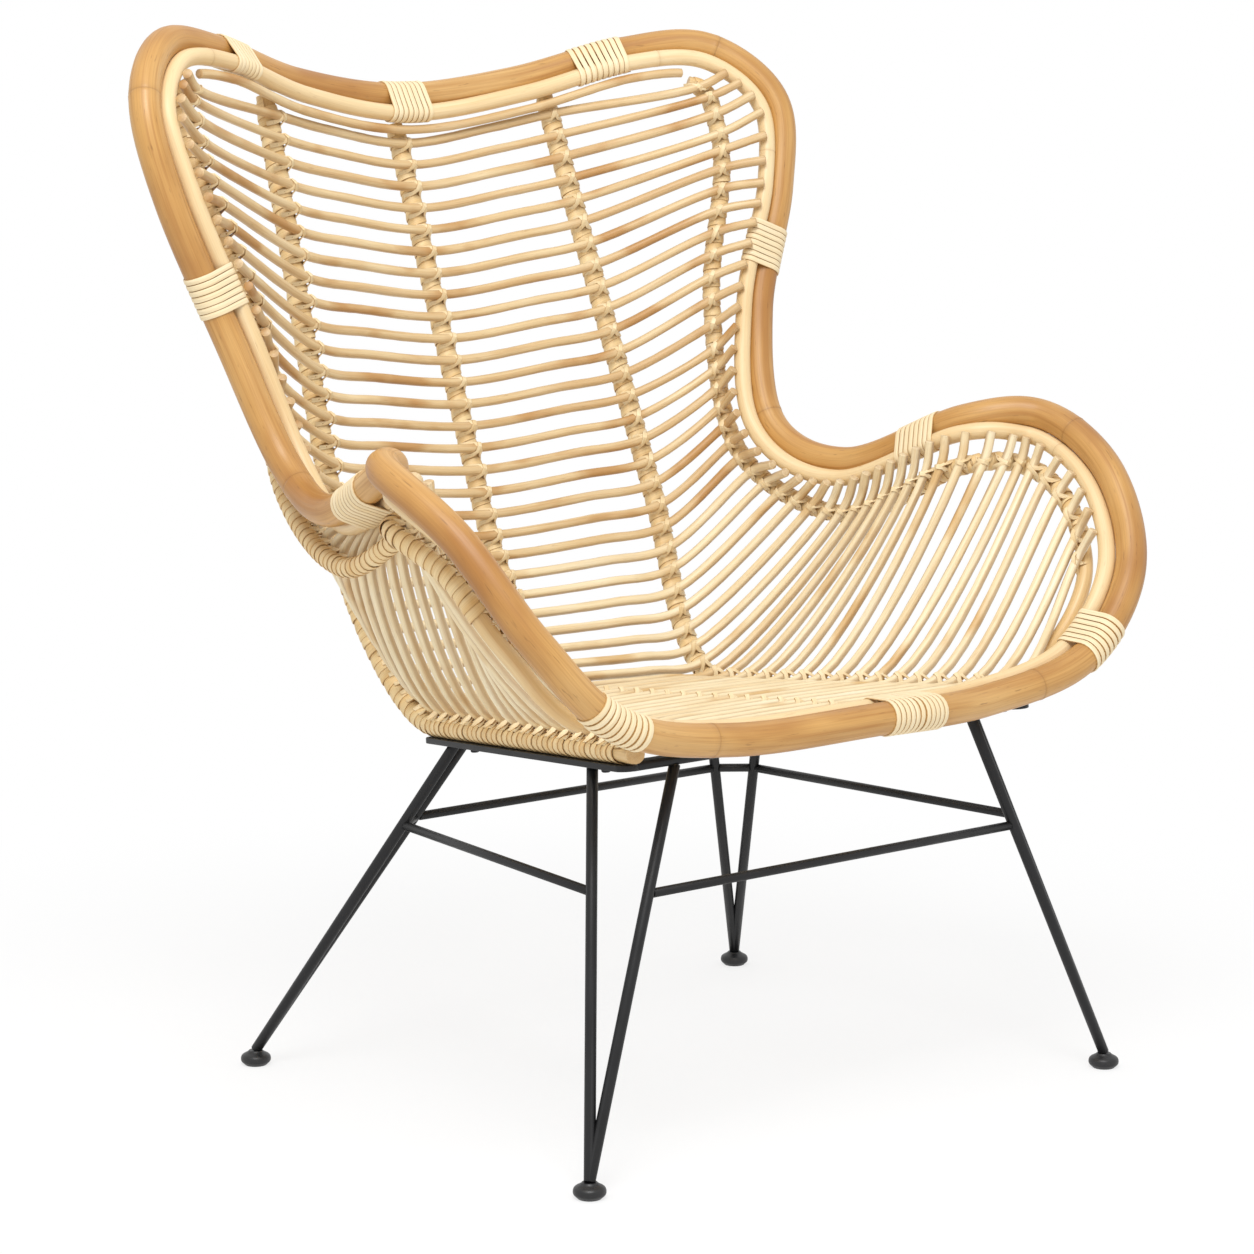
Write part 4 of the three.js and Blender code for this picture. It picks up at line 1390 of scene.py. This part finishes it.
@dataclass
class Rods:
    """The round rods, in the groups that the solids have."""

    weave: Weave
    sides: int = 10
    steps_in_span: int = 9
    back_rods: int = 20
    thinnest: float = 0.95
    thickest: float = 1.04
    swelling: float = 0.025
    swelling_turn: float = 0.7
    swelling_jitter: float = 5.0
    end_rounding: float = 0.8 * MM
    end_size: float = 0.72
    end_marks: Range = (0.35, 0.1)
    grain_runs: float = 60.0
    top_rod_gap: float = 3.6 * MM
    top_rod_reach: float = 2.6
    top_rod_steps: int = 80
    top_rod_seed: int = 101

    def build(self) -> None:
        """Builds each group of rods, and the rod under the hoop along the top."""
        count, size = self.weave.rod_count, self.weave.rods_in_group
        steps = ROD_SPANS * self.steps_in_span
        shares = [i / steps for i in range(steps + 1)]
        for first in range(0, count, size):
            end = min(first + size, count)
            words = f"{first + 1:02d}_to_{end:02d}"
            sweep = Sweep(f"rattan_rods_{words}")
            for rod in range(first, end):
                line, _ = self.weave.rod(rod)
                beside, _ = self.weave.rod(rod + 1 if rod + 1 < count else rod - 1)
                points = [line.at(share) for share in shares]
                asides = [beside.at(share) - point for share, point in zip(shares, points)]
                self.lay(sweep, points, asides, rod)
            # The seat and arm rods take the copy of the rod finish that is painted paler, as lit from above
            finish = BACK_ROD_FINISH if end <= self.back_rods else LIT_SEAT_ROD_FINISH
            place_piece(sweep.finish(), finish, f"rods_{words}")
        self.top_rod()

    def lay(self, sweep: Sweep, points: list[Vector], asides: list[Vector], seed: int) -> None:
        """Adds one rod to a mesh, a little uneven and with blunted ends.

        Args:
            sweep: The mesh.
            points: The rod's line.
            asides: The way to the next rod at each point.
            seed: Sets the rod's own thickness and grain.
        """
        chance = random.Random(seed)
        size = chance.uniform(self.thinnest, self.thickest)
        turns = [self.swelling_turn * i + self.swelling_jitter * chance.random() for i in range(len(points))]
        swell = [size * (1 + self.swelling * math.sin(turn)) for turn in turns]
        near_start = points[0] + (points[1] - points[0]).normalized() * self.end_rounding
        near_end = points[-1] - (points[-1] - points[-2]).normalized() * self.end_rounding
        end_size, (end_mark, next_mark) = self.end_size * size, self.end_marks
        scales = [end_size, size, *swell[1:-1], size, end_size]
        marks = [end_mark, next_mark, *([0.0] * (len(points) - 2)), next_mark, end_mark]
        points = [points[0], near_start, *points[1:-1], near_end, points[-1]]
        section = round_section(self.weave.shell.rod_diameter / 2, self.sides)
        frames = strip_frames(points, [asides[0], *asides, asides[-1]])
        sweep.roll(section, frames, scales, marks, first_run=chance.uniform(0, self.grain_runs))

    def under_hoop(self, station: float) -> Vector:
        """A place on the rod that lies under the hoop.

        Args:
            station: The station of the hoop above it.

        Returns:
            The rod's centre there.
        """
        shell = self.weave.shell
        drop = (shell.hoop_diameter + shell.rod_diameter) / 2 + self.top_rod_gap
        here = shell.rim_frame(station)
        return shell.hoop(station) + (here.into - here.facing).normalized() * drop

    def top_rod(self) -> None:
        """Builds the rod that lies under the hoop along the top."""
        reach, steps = self.top_rod_reach, self.top_rod_steps
        stations = [-reach + 2 * reach * i / steps for i in range(steps + 1)]
        points = [self.under_hoop(station) for station in stations]
        asides = [self.weave.shell.hoop(station) - point for station, point in zip(stations, points)]
        sweep = Sweep("rattan_rod_top")
        self.lay(sweep, points, asides, self.top_rod_seed)
        place_piece(sweep.finish(), BACK_ROD_FINISH, "rod_under_top_hoop")


@dataclass(frozen=True)
class Rib:
    """A rib: its word in names, its line, its wrapped length, its ties, and its pole's radius.

    A rib may be wider across the chair than it is deep.
    """

    word: str
    line: Route
    wrapped: float
    ties: list[Tie]
    radius: float
    wider: float = 1.0


@dataclass
class Ribs:
    """The ribs behind the rods: poles wrapped in cane, with a tie over each rod."""

    weave: Weave
    core_radius: float = 8.2 * MM
    centre_rib_thinner: float = 0.7 * MM
    sides: int = 16
    core_step: float = 6 * MM
    wing_rib_points: int = 500
    wrapped_points: int = 480
    wrap_ends_before: float = 0.05
    wrap_width: float = 12.0 * MM
    wrap_thickness: float = 1.2 * MM
    wrap_pitch: float = 10.2 * MM
    wrap_steps: int = 14
    wrap_start: float = 0.7
    wrap_slip: float = 1.1 * MM
    wrap_slant: float = 1.8 * MM
    wrap_slant_shares: Range = (-0.4, 1.3)
    wrap_lift: float = 0.8
    shingle_degrees: float = 7.0
    back_rib_spread: float = 1.24
    tie_width: float = 5.0 * MM
    tie_thickness: float = 1.0 * MM
    tie_skew: Range = (0.88, 1.14)
    grain_runs: float = 9.0
    # Half a strand of a tie: places in millimetres along the rod, along the rib and off the rib's
    # middle, and the ways out of the cane's face, drawn for a rod at the height below
    strand: tuple[tuple[Triple, Triple], ...] = (
        ((-8.9, -6.8, 3.0), (-1.0, 0.0, 0.3)),
        ((-6.6, -6.4, 7.2), (-0.8, -0.3, 0.6)),
        ((-4.2, -6.1, 11.5), (-0.5, -0.8, 0.4)),
        ((-2.1, -4.8, 17.4), (-0.1, -0.7, 0.7)),
    )
    strand_top: tuple[Triple, Triple] = ((0.0, 0.0, 20.3), (0.0, 0.0, 1.0))
    strand_rod_height: float = 14.6
    upper_strand_from: float = 12.0
    upper_strand_rise: float = 0.9

    def build(self) -> None:
        """Builds the five ribs with their wraps and ties."""
        weave, radius, spread = self.weave, self.core_radius, self.back_rib_spread
        rods = [weave.rod(rod)[1] for rod in range(weave.rod_count)]
        first, last = weave.wing_rib_first, weave.last_rod_station - self.wrap_ends_before
        wing = Route.along(weave.wing_rib, first, weave.wing_rib_last, self.wing_rib_points)
        wrapped = Route.along(weave.wing_rib, first, last, self.wrapped_points).length
        centre, centre_ties = weave.centre_rib, [ties[2] for ties in rods]
        thin = radius - self.centre_rib_thinner
        self.rib(Rib("centre", centre, centre.length, centre_ties, thin, spread))
        for side in Side:
            inner = Route(tuple(side.of(point) for point in weave.inner_rib.points))
            outer = Route(tuple(side.of(point) for point in wing.points))
            outer_ties, inner_ties = ([ties[i].on(side) for ties in rods] for i in (0, 1))
            self.rib(Rib(f"inner_{side.word}", inner, inner.length, inner_ties, radius, spread))
            self.rib(Rib(f"wing_{side.word}", outer, wrapped, outer_ties, radius))

    def rib(self, rib: Rib) -> None:
        """Builds one rib with its wrap and its ties.

        Args:
            rib: The rib.
        """
        count = max(2, round(rib.line.length / self.core_step))
        guides = travel_frames([rib.line.at(rib.line.length * i / count) for i in range(count + 1)])
        core = Sweep(f"rib_pole_{rib.word}")
        core.roll(round_section(rib.radius, self.sides), [stretched(guide, rib.wider) for guide in guides])
        place_piece(core.finish(), RIB_FINISH, f"rib_{rib.word}")
        self.wrap(rib)
        self.tie(rib)

    def wrap(self, rib: Rib) -> None:
        """Winds the cane round a rib, each turn lapping the last and a little astray.

        Args:
            rib: The rib.
        """
        chance = random.Random(rib.word)
        turns = int((rib.wrapped - 2 * self.wrap_width) / self.wrap_pitch)
        steps = turns * self.wrap_steps
        start = self.wrap_width * self.wrap_start
        runs = [start + self.wrap_pitch * i / self.wrap_steps for i in range(steps + 1)]
        slips = [chance.uniform(-1, 1) * self.wrap_slip for _ in range(turns + 2)]
        slants = [chance.uniform(*self.wrap_slant_shares) * self.wrap_slant for _ in range(turns + 2)]
        tilt = math.radians(self.shingle_degrees)
        frames = []
        for i, guide in enumerate(travel_frames([rib.line.at(run) for run in runs])):
            angle = 2 * math.pi * i / self.wrap_steps
            turn, step = divmod(i, self.wrap_steps)
            share = step / self.wrap_steps
            slip = slips[turn] * (1 - share) + slips[turn + 1] * share
            slant = slants[turn] * (1 - share) + slants[turn + 1] * share
            x, y, z = (guide.col[axis].xyz for axis in range(3))
            out = x * math.cos(angle) + y * math.sin(angle)
            middle = guide.translation + z * (slip + slant * math.sin(angle))
            reach = rib.radius + self.wrap_thickness * self.wrap_lift
            middle += Vector((out.x * rib.wider, out.y, out.z)) * reach
            out = Vector((out.x / rib.wider, out.y, out.z)).normalized()
            across = z * math.cos(tilt) + out * math.sin(tilt)
            face = out * math.cos(tilt) - z * math.sin(tilt)
            frames.append(axes_at(middle, across, face, across.cross(face)))
        sweep = Sweep(f"rib_wrap_{rib.word}")
        section = cane_section(self.wrap_width, self.wrap_thickness)
        sweep.roll(section, frames, first_run=chance.uniform(0, self.grain_runs))
        place_piece(sweep.finish(CANE_SHARP_DEGREES), WRAP_FINISH)

    def whole_strand(self, hand: int, skew: float) -> list[tuple[Triple, Triple]]:
        """A whole strand of a tie.

        Args:
            hand: 1 for the lower strand and -1 for the upper one, which crosses it.
            skew: Its reach along the rib, as a share.

        Returns:
            Its places and the ways out of its face.
        """
        start = [
            ((hand * over, along * skew, height), (hand * x, y, z))
            for (over, along, height), (x, y, z) in self.strand
        ]
        end = [((-over, -along, height), (-x, -y, z)) for (over, along, height), (x, y, z) in reversed(start)]
        return [*start, self.strand_top, *end]

    def tie(self, rib: Rib) -> None:
        """Ties each rod to a rib with two crossing strands, one over the other.

        Args:
            rib: The rib.
        """
        chance = random.Random(f"ties {rib.word}")
        section = cane_section(self.tie_width, self.tie_thickness)
        sweep = Sweep(f"rib_ties_{rib.word}")
        for tie in rib.ties:
            skew = chance.uniform(*self.tie_skew)
            higher = tie.lift / MM - self.strand_rod_height
            for hand, rise in ((1, 0.0), (-1, self.upper_strand_rise)):
                points, outs = [], []
                for (over, along, height), (x, y, z) in self.whole_strand(hand, skew):
                    height = height + (rise if height > self.upper_strand_from else 0.0) + higher
                    off = tie.along_rod * over * rib.wider + tie.along_rib * along + tie.facing * height
                    points.append(tie.centre + off * MM)
                    outs.append(tie.along_rod * x + tie.along_rib * y + tie.facing * z)
                sweep.roll(section, strip_frames(points, outs), first_run=chance.uniform(0, self.grain_runs))
        place_piece(sweep.finish(), TIE_FINISH)


@dataclass(frozen=True)
class Leg:
    """The place of a hairpin leg on the right half: its foot and the tops of its two runs."""

    foot: Vector
    rail_top: Vector
    bar_top: Vector


@dataclass
class SteelBase:
    """The steel base: rails, cross bars, hairpin legs, stretchers, screws and feet."""

    shift: Vector
    rail_back_place: Vector = millimetres(197, 52, 346)
    rail_front_place: Vector = millimetres(256, -318, 381)
    leg_diameter: float = 11 * MM
    stretcher_diameter: float = 9 * MM
    bar_diameter: float = 11 * MM
    rail_width: float = 24 * MM
    rail_thickness: float = 6 * MM
    bar_from_rail_end: float = 4 * MM
    front_leg_from_rail_end: float = 61 * MM
    back_leg_from_rail_end: float = 41 * MM
    front_leg_on_bar: float = 192 * MM
    back_leg_on_bar: float = 160 * MM
    foot_diameter: float = 31 * MM
    foot_height: float = 15 * MM
    foot_base_diameter: float = 24 * MM
    foot_neck_diameter: float = 15 * MM
    stretcher_height: float = 262 * MM
    screw_head_diameter: float = 9 * MM
    screw_head_height: float = 4 * MM
    screw_shank_diameter: float = 4 * MM
    screw_depth: float = 11 * MM
    screw_from_rail_back: float = 80 * MM
    screw_from_rail_front: float = 36 * MM
    screw_head_gap: float = 0.3 * MM
    rail_bevel: float = 0.9 * MM
    foot_bevel: float = 0.8 * MM
    leg_above_foot: float = 0.3 * MM
    leg_below_rail: float = 0.4 * MM
    leg_into_bar: float = 0.4 * MM
    bar_into_rail: float = 0.2 * MM
    stretcher_into_leg: float = 0.6 * MM
    end_softness: float = 0.06
    end_size: float = 0.9
    sides: int = 20
    rail_sides: int = 32
    lathe_steps: int = 40
    bulge_steps: int = 20
    bevel_segments: int = 2
    bevel_degrees: float = 60.0
    rail_sharp_degrees: float = 30.0
    lathe_sharp_degrees: float = 40.0
    # Corners as shares of a radius and a height: of the foot, of the foot's neck and of a screw's head
    foot_shape: tuple[Range, ...] = ((0.97, 0.26), (1.0, 0.45), (0.93, 0.66))
    foot_neck_shape: tuple[Range, ...] = ((1.15, 0.9), (0.95, 1.0))
    screw_head_shape: tuple[Range, ...] = (
        (0.0, 0.3), (0.3, 0.3), (0.34, 0.0), (0.62, 0.025), (0.86, 0.15), (0.97, 0.375),
    )

    @cached_property
    def rail_back(self) -> Vector:
        """The middle of the right rail's back end."""
        return self.rail_back_place + self.shift

    @cached_property
    def rail_front(self) -> Vector:
        """The middle of the right rail's front end."""
        return self.rail_front_place + self.shift

    @cached_property
    def rail_forward(self) -> Vector:
        """The way along the right rail."""
        return (self.rail_front - self.rail_back).normalized()

    @cached_property
    def rail_up(self) -> Vector:
        """The way out of the right rail's upper face."""
        return (UP - self.rail_forward * self.rail_forward.z).normalized()

    def bar_end(self, end: End) -> Vector:
        """Where a cross bar's axis meets the right rail."""
        reach = self.rail_forward * self.bar_from_rail_end
        return self.rail_back + reach if end is End.BACK else self.rail_front - reach

    def bar_middle(self, end: End) -> Vector:
        """The middle of a cross bar."""
        place = self.bar_end(end)
        return Vector((0.0, place.y, place.z))

    def leg(self, end: End) -> Leg:
        """The place of a leg.

        Args:
            end: Which end of the base.

        Returns:
            The leg of the right half.
        """
        if end is End.FRONT:
            top = self.rail_front - self.rail_forward * self.front_leg_from_rail_end
            foot, on_bar = FRONT_FOOT, self.front_leg_on_bar
        else:
            top = self.rail_back + self.rail_forward * self.back_leg_from_rail_end
            foot, on_bar = BACK_FOOT, self.back_leg_on_bar
        bottom = foot + self.shift + UP * (self.foot_height - self.leg_diameter / 2)
        bar = self.bar_end(end)
        return Leg(bottom, top, Vector((on_bar, bar.y, bar.z)))

    def build(self) -> None:
        """Builds the base."""
        for side in Side:
            self.rail(side)
            for end in End:
                self.hairpin(side, end)
                self.puck(side, end)
                self.screw(side, end)
        for end in End:
            self.cross_bar(end)
        self.stretchers()

    def rod(self, name: str, node: str, start: Vector, end: Vector, diameter: float) -> None:
        """Builds a straight round bar.

        Args:
            name: The piece's name.
            node: The solid that it stands for.
            start: The middle of its one end.
            end: The middle of its other end.
            diameter: Its diameter.
        """
        sweep = Sweep(name)
        self.run(sweep, start, end, diameter)
        place_piece(sweep.finish(), STEEL_FINISH, node)

    def run(self, sweep: Sweep, start: Vector, end: Vector, diameter: float) -> None:
        """Adds a straight round bar with softened ends to a mesh.

        Args:
            sweep: The mesh.
            start: The middle of its one end.
            end: The middle of its other end.
            diameter: Its diameter.
        """
        way = (end - start).normalized()
        soft = diameter * self.end_softness
        points = [start, start + way * soft, start.lerp(end, 0.5), end - way * soft, end]
        section = round_section(diameter / 2, self.sides)
        sweep.roll(section, travel_frames(points), [self.end_size, 1.0, 1.0, 1.0, self.end_size])

    def rail(self, side: Side) -> None:
        """Builds a flat rail with round ends.

        Args:
            side: Which half of the chair.
        """
        work = bmesh.new()
        length = (self.rail_front - self.rail_back).length
        bmesh.ops.create_circle(work, cap_ends=True, segments=self.rail_sides, radius=self.rail_width / 2)
        ahead = [vert for vert in work.verts if vert.co.x > TINY]
        bmesh.ops.translate(work, verts=ahead, vec=(length, 0.0, 0.0))
        slab = bmesh.ops.extrude_face_region(work, geom=list(work.faces))["geom"]
        top = [item for item in slab if isinstance(item, bmesh.types.BMVert)]
        bmesh.ops.translate(work, verts=top, vec=(0.0, 0.0, self.rail_thickness))
        bmesh.ops.translate(work, verts=work.verts, vec=(0.0, 0.0, -self.rail_thickness / 2))
        bmesh.ops.recalc_face_normals(work, faces=work.faces)
        rims = [edge for edge in work.edges if edge.calc_face_angle(0.0) > math.radians(self.bevel_degrees)]
        bmesh.ops.bevel(
            work, geom=rims, offset=self.rail_bevel, segments=self.bevel_segments, profile=0.5,
            affect="EDGES", material=-1,
        )
        forward, up, place = side.of(self.rail_forward), side.of(self.rail_up), side.of(self.rail_back)
        bmesh.ops.transform(work, matrix=axes_at(place, forward, up.cross(forward), up), verts=work.verts)
        mesh = finished_mesh(f"flat_rail_{side.word}", work, self.rail_sharp_degrees)
        place_piece(mesh, STEEL_FINISH, f"side_rail_{side.word}")

    def hairpin(self, side: Side, end: End) -> None:
        """Builds a leg of two runs that are one piece where they meet above the foot.

        Args:
            side: Which half of the chair.
            end: Which end of the base.
        """
        leg = self.leg(end)
        lift = UP * (self.leg_diameter / 2 + self.leg_above_foot)
        short_of_rail = self.rail_thickness / 2 + self.leg_below_rail
        short_of_bar = self.bar_diameter / 2 - self.leg_into_bar
        on_rail = leg.rail_top - (leg.rail_top - leg.foot).normalized() * short_of_rail
        on_bar = leg.bar_top - (leg.bar_top - leg.foot).normalized() * short_of_bar
        runs = []
        for word, top in (("rail", on_rail), ("bar", on_bar)):
            sweep = Sweep(f"hairpin_{end.value}_{side.word}_{word}")
            self.run(sweep, side.of(leg.foot + lift), side.of(top), self.leg_diameter)
            runs.append(bpy.data.objects.new(sweep.name, sweep.finish()))
            bpy.context.scene.collection.objects.link(runs[-1])
        union = runs[0].modifiers.new("one rod", "BOOLEAN")
        union.operation = "UNION"
        union.solver = "EXACT"
        union.object = runs[1]
        made = runs[0].evaluated_get(bpy.context.evaluated_depsgraph_get())
        mesh = bpy.data.meshes.new_from_object(made)
        mesh.name = f"hairpin_{end.value}_{side.word}"
        for run in runs:
            bpy.data.objects.remove(run)
        mesh.set_sharp_from_angle(angle=math.radians(SHARP_DEGREES))
        place_piece(mesh, STEEL_FINISH, f"hairpin_leg_{end.value}_{side.word}")

    def lathe(self, name: str, node: str, profile: Sequence[Range], place: Matrix, finish: Finish) -> None:
        """Turns a profile about Z and sets it in place.

        Args:
            name: The piece's name.
            node: The solid that it stands for.
            profile: Radius and height of each corner, from the axis back to the axis.
            place: Where the piece stands.
            finish: What it is dressed in.
        """
        work = bmesh.new()
        verts = [work.verts.new((radius, 0.0, height)) for radius, height in profile]
        edges = [work.edges.new(pair) for pair in zip(verts, verts[1:])]
        bmesh.ops.spin(
            work, geom=verts + edges, cent=(0, 0, 0), axis=(0, 0, 1), angle=2 * math.pi,
            steps=self.lathe_steps, use_merge=True,
        )
        bmesh.ops.remove_doubles(work, verts=work.verts, dist=TINY)
        bmesh.ops.transform(work, matrix=place, verts=work.verts)
        place_piece(finished_mesh(name, work, self.lathe_sharp_degrees), finish, node)

    def puck(self, side: Side, end: End) -> None:
        """Builds a round foot with a bulging side.

        Args:
            side: Which half of the chair.
            end: Which end of the base.
        """
        base, wide, neck = self.foot_base_diameter / 2, self.foot_diameter / 2, self.foot_neck_diameter / 2
        tall, bevel = self.foot_height, self.foot_bevel
        corners = [(base, bevel)]
        for radius, shape in ((wide, self.foot_shape), (neck, self.foot_neck_shape)):
            corners += [(share * radius, height * tall) for share, height in shape]
        bulge = OpenLine(tuple(Vector((radius, 0.0, height)) for radius, height in corners))
        curve = [bulge.at(i / self.bulge_steps) for i in range(self.bulge_steps + 1)]
        profile = [(0.0, 0.0), (base - bevel, 0.0), *((point.x, point.z) for point in curve), (0.0, tall)]
        leg = self.leg(end)
        place = Matrix.Translation(Vector((side.value * leg.foot.x, leg.foot.y, 0.0)))
        where = f"{end.value}_{side.word}"
        self.lathe(f"puck_{where}", f"foot_{where}", profile, place, FOOT_FINISH)

    def screw(self, side: Side, end: End) -> None:
        """Builds a pan head screw under a rail, with its shank up into the rib.

        Args:
            side: Which half of the chair.
            end: Which end of the base.
        """
        if end is End.BACK:
            place = self.rail_back + self.rail_forward * self.screw_from_rail_back
        else:
            place = self.rail_front - self.rail_forward * self.screw_from_rail_front
        head, shank = self.screw_head_diameter / 2, self.screw_shank_diameter / 2
        under = -self.rail_thickness / 2 - self.screw_head_gap
        tall = self.screw_head_height
        low = under - tall
        top = self.rail_thickness / 2 + self.screw_depth
        corners = [(share * head, low + height * tall) for share, height in self.screw_head_shape]
        profile = [*corners, (head, under), (shank, under), (shank, top), (0.0, top)]
        up = side.of(self.rail_up)
        across = up.orthogonal().normalized()
        matrix = axes_at(side.of(place), across, up.cross(across), up)
        where = f"{end.value}_{side.word}"
        self.lathe(f"pan_screw_{where}", f"rail_screw_{where}", profile, matrix, STEEL_FINISH)

    def cross_bar(self, end: End) -> None:
        """Builds a round bar between the inner edges of the rails.

        Args:
            end: Which end of the base.
        """
        place = self.bar_end(end)
        reach = Vector((place.x - self.rail_width / 2 + self.bar_into_rail, place.y, place.z))
        name, node = f"round_bar_{end.value}", f"{end.value}_cross_bar"
        self.rod(name, node, Side.LEFT.of(reach), reach, self.bar_diameter)

    def joint(self, end: End, on_rail: bool) -> Vector:
        """Where a stretcher's axis meets a run of a leg.

        Args:
            end: Which end of the base.
            on_rail: Whether it is the run to the rail or the one to the cross bar.

        Returns:
            The place on the right half.
        """
        leg = self.leg(end)
        top = leg.rail_top if on_rail else leg.bar_top
        return leg.foot.lerp(top, (self.stretcher_height - leg.foot.z) / (top.z - leg.foot.z))

    def stretcher(self, name: str, node: str, one: Vector, other: Vector) -> None:
        """Builds a stretcher that ends in the runs of two legs, whose axes it meets at two places."""
        inset = (other - one).normalized() * (self.leg_diameter / 2 - self.stretcher_into_leg)
        self.rod(name, node, one + inset, other - inset, self.stretcher_diameter)

    def stretchers(self) -> None:
        """Builds the stretchers between the legs and the links across the back legs."""
        for side in Side:
            back, front = (side.of(self.joint(end, True)) for end in (End.BACK, End.FRONT))
            link = side.of(self.joint(End.BACK, False))
            self.stretcher(f"leg_rod_side_{side.word}", f"side_stretcher_{side.word}", back, front)
            self.stretcher(f"leg_rod_link_{side.word}", f"back_leg_link_{side.word}", link, back)
        for end in End:
            right = self.joint(end, False)
            self.stretcher(f"leg_rod_{end.value}", f"{end.value}_stretcher", Side.LEFT.of(right), right)


@dataclass
class Studio:
    """The floor, the light and the camera."""

    camera_place: Vector = Vector((-2.31343, -2.81695, 1.01970))
    yaw_degrees: float = -39.484
    pitch_degrees: float = 8.912
    focal_pixels: float = 3582.07
    image_pixels: float = 1254.0
    sensor_width: float = 36.0
    clip_end: float = 50.0
    sky_light: float = 0.73
    key_watts: float = 80.0
    key_size: float = 1.8
    key_place: Vector = Vector((-1.3, -1.5, 3.3))
    key_target: Vector = Vector((0.0, 0.0, 0.5))
    floor_half_width: float = 9.0
    floor_whiteness: float = 0.745
    floor_fade: Range = (0.5, 1.3)
    floor_colour: Colour = (0.93, 0.93, 0.93)

    def build(self) -> None:
        """Sets the stage."""
        self.camera()
        self.sky()
        self.key()
        self.floor()
        bpy.context.scene.view_settings.view_transform = "Standard"

    def camera(self) -> None:
        """Sets the camera where the photograph was taken from."""
        yaw, pitch = math.radians(self.yaw_degrees), math.radians(self.pitch_degrees)
        back = Vector((math.sin(yaw) * math.cos(pitch), -math.cos(yaw) * math.cos(pitch), math.sin(pitch)))
        right = (-back).cross(UP).normalized()
        data = bpy.data.cameras.new("photo_camera")
        data.sensor_width = self.sensor_width
        data.sensor_fit = "HORIZONTAL"
        data.lens = self.focal_pixels / self.image_pixels * data.sensor_width
        data.clip_end = self.clip_end
        camera = bpy.data.objects.new("photo_camera", data)
        camera.matrix_world = axes_at(self.camera_place, right, back.cross(right), back)
        bpy.context.scene.collection.objects.link(camera)
        bpy.context.scene.camera = camera

    @staticmethod
    def seen_directly(sheet: NodeSheet) -> Socket:
        """A share that is 1 for rays that see the background and 0 for those that light the chair.

        Args:
            sheet: The nodes that the share is for.

        Returns:
            The share.
        """
        rays = sheet.add("ShaderNodeLightPath").outputs
        seen = sheet.math("MAXIMUM", rays["Is Camera Ray"], rays["Is Glossy Ray"])
        return sheet.math("MAXIMUM", seen, rays["Is Transmission Ray"])

    def sky(self) -> None:
        """Lights the chair evenly from all round, before a white background."""
        world = bpy.data.worlds.new("studio")
        bpy.context.scene.world = world
        world.use_nodes = True
        sheet = NodeSheet(world.node_tree)
        strength = sheet.spread(self.seen_directly(sheet), (0.0, 1.0), (self.sky_light, 1.0))
        background = world.node_tree.nodes["Background"]
        sheet.feed(background.inputs["Color"], (1.0, 1.0, 1.0, 1.0))
        sheet.feed(background.inputs["Strength"], strength)

    def key(self) -> None:
        """Adds a large soft lamp above, in front and to the left."""
        data = bpy.data.lights.new("soft_key", "AREA")
        data.energy = self.key_watts
        data.size = self.key_size
        lamp = bpy.data.objects.new("soft_key", data)
        aim = (self.key_place - self.key_target).normalized()
        across = UP.cross(aim).normalized()
        lamp.matrix_world = axes_at(self.key_place, across, aim.cross(across), aim)
        bpy.context.scene.collection.objects.link(lamp)

    def floor(self) -> None:
        """Lays a pale floor that takes the shadow near the chair and is white further off."""
        work = bmesh.new()
        bmesh.ops.create_grid(work, x_segments=1, y_segments=1, size=self.floor_half_width)
        floor = bpy.data.objects.new("floor", finished_mesh("floor", work))
        bpy.context.scene.collection.objects.link(floor)
        material = bpy.data.materials.new("pale_floor")
        material.use_nodes = True
        sheet = NodeSheet(material.node_tree)
        sheet.tree.nodes.clear()
        place = sheet.add("ShaderNodeTexCoord").outputs["Object"]
        off = sheet.add("ShaderNodeVectorMath", {0: place}, operation="LENGTH").outputs["Value"]
        near, away = self.floor_fade
        limits = {"Value": off, "From Min": near, "From Max": away, "To Min": self.floor_whiteness}
        far = sheet.add("ShaderNodeMapRange", limits, interpolation_type="SMOOTHSTEP").outputs["Result"]
        shown = sheet.math("MULTIPLY", far, self.seen_directly(sheet))
        matte = sheet.add("ShaderNodeBsdfDiffuse", {"Color": (*self.floor_colour, 1.0)}).outputs[0]
        white = sheet.add("ShaderNodeEmission").outputs[0]
        mixed = sheet.add("ShaderNodeMixShader", {0: shown, 1: matte, 2: white}).outputs[0]
        sheet.add("ShaderNodeOutputMaterial", {"Surface": mixed})
        floor.data.materials.append(material)


def main() -> None:
    """Builds the chair and the stage in order."""
    logging.basicConfig(level=logging.INFO, format="%(message)s")
    shift = solids_shift()
    shell = Shell(shift)
    base = SteelBase(shift)
    weave = Weave(shell, base)
    for assembly in (Studio(), Poles(shell), Bindings(shell), Rods(weave), Ribs(weave), base):
        assembly.build()


if __name__ == "__main__":
    main()
